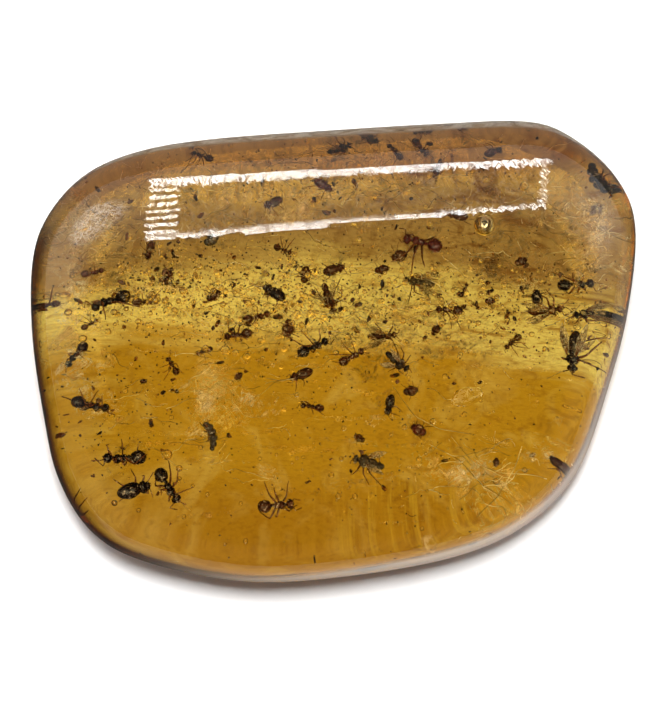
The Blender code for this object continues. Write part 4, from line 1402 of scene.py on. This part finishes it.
class COPAL_OT_block(bpy.types.Operator):
    """Make the clear block with its bubbles and cracks"""

    bl_idname = "copal.block"
    bl_label = "Clear Block"

    def execute(self, context):
        settings = context.scene.copal_block
        material = copal_material(settings)
        made = Solids()
        self.bubbles(made, settings, material)
        for seed, row in enumerate(CRACKS):
            crack(made, row, seed * CRACK_SEED_STEP)
        made.turn_inside_out()
        points, faces = block_skin()
        made.add([Vector(point) for point in points], faces, RESIN)
        mesh = made.mesh("copal_block", [material, hollow_material(), silvered_material()])
        mesh.set_sharp_from_angle(angle=CREASE)
        piece = add_piece("copal_block", mesh)
        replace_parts(piece, *COPAL_NODES)
        self.rind(settings)
        return {"FINISHED"}

    def bubbles(self, made, settings, material):
        rng = random.Random(11)
        places = [free_place(rng, BUBBLE_CLOUDS, BUBBLE_MARGIN) for _ in range(settings.bubbles)]
        small = grow("bubbles", places, grains_tree(), {
            "Smallest": settings.bubble_smallest, "Largest": settings.bubble_largest, "Lumpiness": 0.0,
            "Facets": 2, "Seed": 5, "Material": material,
        })
        shells = [tuple(face.vertices) for face in small.polygons]
        made.add([vertex.co.copy() for vertex in small.vertices], shells, HOLLOW)
        for x, y, height, radius in BIG_BUBBLES:
            middle = Vector((x, y, height)) * MM
            mark = SILVERED if radius > SILVERED_OVER else HOLLOW
            made.ball(lambda *point: middle + Vector(point) * radius * MM, *BIG_BUBBLE_STEPS, mark)

    def rind(self, settings):
        mesh = bpy.data.meshes.new("weathered_rind")
        points, faces = rind_sheet()
        mesh.from_pydata(points, [], faces)
        mesh.materials.append(rind_material(settings))
        mesh.polygons.foreach_set("use_smooth", [True] * len(faces))
        add_piece("weathered_rind", mesh)


class COPAL_OT_insects(bpy.types.Operator):
    """Make every insect in the place of its plain solid, and the torn ones around them"""

    bl_idname = "copal.insects"
    bl_label = "Insects"

    def execute(self, context):
        shells, shared = insect_materials(context.scene.copal_insects)
        rng = random.Random(3)
        for name, shape, tone, *placing in INSECTS:
            body = insect_body(shape, rng)
            mesh = body.mesh(name + "_body", [shells[tone], *shared], insect_place(*placing))
            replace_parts(add_piece(name + "_body", mesh), name)
        torn = Solids()
        for shape, *placing in SCRAPS:
            body, place = insect_body(shape, rng), insect_place(*placing)
            torn.add([place @ point for point in body.points], body.faces, body.marks)
        add_piece("torn_insects", torn.mesh("torn_insects", [shells["brown"], *shared]))
        return {"FINISHED"}


class COPAL_OT_specks(bpy.types.Operator):
    """Scatter fine specks and torn bits through the resin"""

    bl_idname = "copal.specks"
    bl_label = "Specks and Crumbs"

    def execute(self, context):
        settings = context.scene.copal_inclusions
        material = grain_material("specks", settings.speck_dark, settings.speck_light)
        tree = grains_tree()
        rng = random.Random(21)
        places = [free_place(rng, SPECK_CLOUDS, SPECK_MARGIN) for _ in range(settings.specks)]
        add_piece("fine_specks", grow("fine_specks", places, tree, {
            "Smallest": 0.00004, "Largest": 0.00022, "Shape": (1.0, 0.65, 0.6), "Lumpiness": 0.6,
            "Facets": 1, "Seed": 9, "Material": material,
        }))
        places = [free_place(rng, SPECK_CLOUDS, CRUMB_MARGIN) for _ in range(settings.crumbs)]
        add_piece("crumbs", grow("crumbs", places, tree, {
            "Smallest": 0.00015, "Largest": 0.00075, "Shape": (1.0, 0.5, 0.4), "Lumpiness": 1.4,
            "Facets": 2, "Seed": 13, "Material": material,
        }))
        return {"FINISHED"}


class COPAL_OT_threads(bpy.types.Operator):
    """Draw fine fibres through the resin"""

    bl_idname = "copal.threads"
    bl_label = "Threads"

    def execute(self, context):
        settings = context.scene.copal_inclusions
        material = grain_material("threads", settings.thread_dark, settings.thread_light, 300.0)
        rng = random.Random(31)
        places = [free_place(rng, THREAD_CLOUDS, *THREAD_ROOM) for _ in range(settings.threads)]
        add_piece("threads", grow("threads", places, threads_tree(), {
            "Shortest": 0.0012, "Longest": 0.0070, "Thickness": 0.000034, "Waviness": 0.0010,
            "Slope": 0.7, "Joints": 16, "Seed": 4, "Material": material,
        }))
        pale = grain_material("pale_tufts", settings.tuft_dark, settings.tuft_light, 500.0)
        places = [free_place(rng, TUFT_CLOUDS, *TUFT_ROOM) for _ in range(settings.tufts)]
        add_piece("pale_tufts", grow("pale_tufts", places, threads_tree(), {
            "Shortest": 0.0003, "Longest": 0.0015, "Thickness": 0.000024, "Waviness": 0.0008,
            "Slope": 1.6, "Joints": 9, "Seed": 14, "Material": pale,
        }))
        made = Solids()
        for thick, *points in FILAMENTS:
            line = bent([Vector(point) * MM for point in points], 6)
            turns = [math.pi * k / len(line) for k in range(len(line))]
            made.tube(line, [thick * MM * (0.5 + 0.5 * math.sin(turn)) for turn in turns])
        add_piece("filaments", made.mesh("filaments", [material]))
        return {"FINISHED"}


class COPAL_OT_veils(bpy.types.Operator):
    """Hang torn pale veils, brown clouds and long flow streaks in the resin"""

    bl_idname = "copal.veils"
    bl_label = "Veils, Clouds and Streaks"

    def execute(self, context):
        settings = context.scene.copal_inclusions
        tree = veils_tree()
        rng = random.Random(41)
        beside = [
            Vector((x + rng.uniform(-0.6, 0.6), y + rng.uniform(-0.6, 0.6), height - 0.9)) * MM
            for _, _, _, x, y, height, *_ in INSECTS
            if depth_inside(Vector((x, y, height)) * MM) > CLOUDED_DEPTH * MM
        ]

        def hang(name, clouds, count, places, margin, material, values):
            material = veil_material(material[0], settings.veil_strength * material[1], *material[2:])
            places = places + [free_place(rng, clouds, margin, *VEIL_LEVELS) for _ in range(count)]
            mesh = grow(name, places, tree, {**values, "Material": material})
            add_piece(name, mesh)

        pale = ("veil", 1.0, settings.veil_light, settings.veil_dark)
        hang("veils", VEIL_CLOUDS, settings.veils, [], 3.4, pale, {
            "Smallest": 0.0020, "Largest": 0.0080, "Shape": (1.0, 0.5, 1.0), "Crumple": 0.0012,
            "Turn": (0.6, 0.5, 1.4), "Seed": 6,
        })
        brown = ("brown_cloud", 0.75, settings.cloud_light, settings.cloud_dark)
        hang("brown_clouds", BROWN_CLOUDS, settings.clouds, beside, 3.4, brown, {
            "Smallest": 0.0025, "Largest": 0.0080, "Shape": (1.0, 0.55, 1.0), "Crumple": 0.0008,
            "Turn": (0.5, 0.4, 0.6), "Seed": 7,
        })
        golden = ("streak", 0.9, settings.streak_light, settings.streak_dark)
        hang("flow_streaks", STREAK_CLOUDS, settings.streaks, [], 4.6, golden, {
            "Smallest": 0.004, "Largest": 0.012, "Shape": (1.0, 0.08, 1.0), "Crumple": 0.0004,
            "Turn": (0.5, 0.12, 0.10), "Seed": 8,
        })
        return {"FINISHED"}


# ---------------------------------------------------------------- the stage

def card_pattern(tree):
    """What the polished edge mirrors of the table: dark on the left, pale on the right and in front."""
    along, depth, _ = (axis / MM for axis in tree.axes(tree.here()))
    right = (along * 0.6 - depth).over(*CARD_RIGHT)
    bright = CARD_DARKEST + depth.over(*CARD_BEHIND) * 0.30 + right * 0.72
    return tree.mix(bright, BLACK, CARD_COLOUR)


def ceiling_pattern(tree):
    """A lit ceiling in front and beside, dark straight above the block and behind it."""
    along, depth, _ = tree.axes(tree.here())
    lit = (along * along + depth * depth).over(*CEILING_HOLE) * (1.0 - depth.over(*CEILING_BEHIND))
    return tree.mix(lit, BLACK, WHITE)


def lamp_pattern(tree):
    """Two bright bars with a ladder of small lights at each end, and dim cloth between."""
    spot = tree.kept("lamp")
    along, across, _ = tree.axes(spot)
    fine = tree.drawn_noise(spot, (0.0048, 0.25, 1.0), 2.0, 0.7)
    coarse = tree.drawn_noise(spot, (0.012, 0.35, 1.0), 2.0)
    comb = tree.drawn_noise(spot, (0.0032, 0.16, 1.0), 1.0, 0.7)
    ragged = across + (fine - 0.5) * 0.12 + (comb - 0.5) * 0.22
    bars = ragged.over(*BACK_BAR).larger(1.0 - ragged.over(*FRONT_BAR))
    rows = (across * LEFT_RUNGS + fine * 2.0).sine().over(-0.2, 0.5)
    rungs = (across * RIGHT_RUNGS + fine * 2.0).sine().over(-0.3, 0.6)
    ladder = (1.0 - along.over(*LEFT_LADDER)) * rows
    ladder = ladder.larger(along.over(*RIGHT_LADDER) * (0.15 + 0.5 * rungs))
    bright = bars.larger(ladder) * (0.06 + coarse * fine * fine * 6.0)
    bright = bright * (0.22 + comb.over(0.42, 0.58) * 1.2)
    cloth = fine.over(0.45, 0.70) * 0.045
    return tree.mix(bright + cloth + 0.012, BLACK, WHITE)


def mirrored(camera_at, x, y):
    """Where a ray from the camera lands on the lamps' level after it meets the block at (x, y) mm."""
    spot, normal, _, _ = skin_tree().ray_cast(Vector((x * MM, y * MM, 0.1)), Vector((0.0, 0.0, -1.0)))
    ray = (spot - camera_at).normalized()
    away = ray - normal * (2.0 * ray.dot(normal))
    return spot + away * ((LAMP_PLANE - spot.z) / away.z)


def square(half):
    """Corners of a level square round the block, half its side given in metres."""
    return [(-half, -half, 0.0), (half, -half, 0.0), (half, half, 0.0), (-half, half, 0.0)]


class COPAL_OT_stage(bpy.types.Operator):
    """Lay the table, hang the lights and set the camera"""

    bl_idname = "copal.stage"
    bl_label = "Table, Lights and Camera"

    def execute(self, context):
        settings = context.scene.copal_stage
        self.table(context, settings)
        self.pad(context, settings)
        self.mirrors(context, settings)
        self.room(context, settings)
        self.top_light(context, settings)
        camera_at = self.camera(context, settings)
        self.lamp_frame(context, settings, camera_at)
        context.scene.view_settings.view_transform = "Standard"
        context.scene.cycles.transparent_max_bounces = 16
        context.scene.cycles.max_bounces = 7
        context.scene.cycles.diffuse_bounces = 2
        return {"FINISHED"}

    def set_up(self, context, name, points, faces, material, height, hidden_from=()):
        """Links a level sheet of the stage, which the named kinds of ray don't see."""
        mesh = bpy.data.meshes.new(name)
        mesh.from_pydata(points, [], faces)
        mesh.materials.append(material)
        made = bpy.data.objects.new(name, mesh)
        made.location.z = height
        context.scene.collection.objects.link(made)
        for ray in hidden_from:
            setattr(made, f"visible_{ray}", False)
        return made

    def table(self, context, settings):
        material, tree, shader = new_material("table")
        tree.fill(shader, {
            "Base Color": settings.floor_colour, "Roughness": 0.9, "Specular IOR Level": 0.0,
        })
        self.set_up(context, "table", square(TABLE_HALF), [QUAD], material, TABLE_LEVEL)

    def pad(self, context, settings):
        """The light pad under the block, which only the resin passes on."""
        angles, radii = outline_radius()
        base = [
            Vector((math.cos(angle), math.sin(angle), 0.0)) * radius * PAD_SHARE
            for angle, radius in zip(angles[::4], radii[::4])
        ]
        glow = glow_material("light_pad", PAD_COLOUR, settings.pad)
        hidden_from = ("camera", "diffuse", "shadow", "volume_scatter")
        self.set_up(context, "light_pad", base, [range(len(base))], glow, PAD_LEVEL, hidden_from)

    def mirrors(self, context, settings):
        """The card that shows in the polished edge, and the ceiling that lights what lies in the resin."""
        card = glow_material("dark_card", card_pattern, 1.0)
        hidden_from = ("camera", "diffuse", "transmission", "shadow", "volume_scatter")
        self.set_up(context, "dark_card", square(CARD_HALF), [QUAD], card, CARD_LEVEL, hidden_from)
        lamps = glow_material("ceiling_lamps", ceiling_pattern, settings.ceiling)
        hidden_from = ("camera", "diffuse", "glossy", "shadow", "volume_scatter")
        downward = [QUAD[::-1]]
        self.set_up(context, "ceiling", square(CEILING_HALF), downward, lamps, CEILING_PLANE, hidden_from)

    def room(self, context, settings):
        """The walls and the dark above, with the pale patches that show in the upper corners."""
        world = bpy.data.worlds.new("studio")
        context.scene.world = world
        world.use_nodes = True
        tree = Tree(world.node_tree)
        facing = tree.node("ShaderNodeTexCoord").flow("Generated")
        across, behind, up = tree.axes(facing)
        beside = (across * across).over(0.12, 0.40)
        wall = settings.sky + beside * (settings.sides - settings.sky)
        sky = settings.overhead + wall * (0.12 + behind.over(-0.1, 0.4) * 0.88) * (1.0 - up.over(0.62, 0.92))
        crinkles = tree.noise(facing, 22.0, 5.0, 0.8, 1.5).over(0.43, 0.60)
        for towards, inner, outer, bright in HAZES:
            turn = tree.node("ShaderNodeVectorMath", {"operation": "DOT_PRODUCT"}, {0: facing, 1: towards})
            sky = sky + turn.flow("Value").over(outer, inner) * crinkles * bright
        tree.fill(world.node_tree.nodes["Background"], {"Color": sky})

    def top_light(self, context, settings):
        light = bpy.data.lights.new("top_light", "AREA")
        light.size = TOP_LIGHT_SIDE
        light.energy = settings.top_light
        lamp = bpy.data.objects.new("top_light", light)
        lamp.location = (0.0, TOP_LIGHT_BACK, LAMP_PLANE)
        lamp.rotation_euler = (-lamp.location).to_track_quat("-Z", "Y").to_euler()
        lamp.visible_glossy = False
        lamp.visible_transmission = False
        context.scene.collection.objects.link(lamp)

    def camera(self, context, settings):
        camera = bpy.data.cameras.new("camera")
        holder = bpy.data.objects.new("camera", camera)
        target = Vector((0.0, 0.0, GIRDLE_HEIGHT))
        back = Vector((0.0, -math.cos(settings.elevation), math.sin(settings.elevation)))
        holder.location = target + back * settings.distance
        holder.rotation_euler = (-back).to_track_quat("-Z", "Y").to_euler()
        shown = LENGTH * FRAME_PIXELS[1] / BLOCK_PIXELS
        camera.lens = camera.sensor_width * settings.distance / shown
        camera.shift_x = CAMERA_SHIFT
        camera.clip_start = 0.01
        context.scene.collection.objects.link(holder)
        context.scene.camera = holder
        return holder.location.copy()

    def lamp_frame(self, context, settings, camera_at):
        """The lamp frame, which is seen only in the polish."""
        low_left, low_right, high_right, high_left = (Vector(corner) for corner in LAMP_IN_POLISH)
        columns, rows = LAMP_STEPS
        points, spots = [], []
        for row in range(rows + 1):
            for column in range(columns + 1):
                s, t = column / columns, row / rows
                spot = low_left.lerp(low_right, s).lerp(high_left.lerp(high_right, s), t)
                points.append(mirrored(camera_at, *spot))
                spots += [s, t, 0.0]
        corners = (0, 1, columns + 2, columns + 1)
        faces = [
            tuple(row * (columns + 1) + column + corner for corner in corners)
            for row in range(rows) for column in range(columns)
        ]
        material = glow_material("lamp_frame", lamp_pattern, settings.softbox)
        hidden_from = ("camera", "diffuse", "transmission", "shadow", "volume_scatter")
        made = self.set_up(context, "lamp_frame", points, faces, material, 0.0, hidden_from)
        kept = made.data.attributes.new("lamp", "FLOAT_VECTOR", "POINT")
        kept.data.foreach_set("vector", spots)


class COPAL_PT_panel(bpy.types.Panel):
    """The block, its insects and its stage."""

    bl_idname = "COPAL_PT_panel"
    bl_label = "Insect in Copal"
    bl_space_type = "VIEW_3D"
    bl_region_type = "UI"
    bl_category = "Copal"

    def draw(self, context):
        for settings, operators in PANEL_ROWS:
            box = self.layout.box()
            group = getattr(context.scene, settings)
            for name in group.__annotations__:
                box.prop(group, name)
            for operator in operators:
                box.operator(operator)


PANEL_ROWS = [
    ("copal_block", ["copal.block"]),
    ("copal_insects", ["copal.insects"]),
    ("copal_inclusions", ["copal.specks", "copal.threads", "copal.veils"]),
    ("copal_stage", ["copal.stage"]),
]
SETTINGS = {
    "copal_block": CopalBlockSettings,
    "copal_insects": CopalInsectSettings,
    "copal_inclusions": CopalInclusionSettings,
    "copal_stage": CopalStageSettings,
}
CLASSES = [
    *SETTINGS.values(), COPAL_OT_block, COPAL_OT_insects, COPAL_OT_specks, COPAL_OT_threads,
    COPAL_OT_veils, COPAL_OT_stage, COPAL_PT_panel,
]


def register():
    for cls in CLASSES:
        bpy.utils.register_class(cls)
    for name, cls in SETTINGS.items():
        setattr(bpy.types.Scene, name, PointerProperty(type=cls))


def unregister():
    for name in SETTINGS:
        delattr(bpy.types.Scene, name)
    for cls in reversed(CLASSES):
        bpy.utils.unregister_class(cls)


def main():
    register()
    bpy.ops.copal.block()
    bpy.ops.copal.insects()
    bpy.ops.copal.specks()
    bpy.ops.copal.threads()
    bpy.ops.copal.veils()
    bpy.ops.copal.stage()


if __name__ == "__main__":
    main()
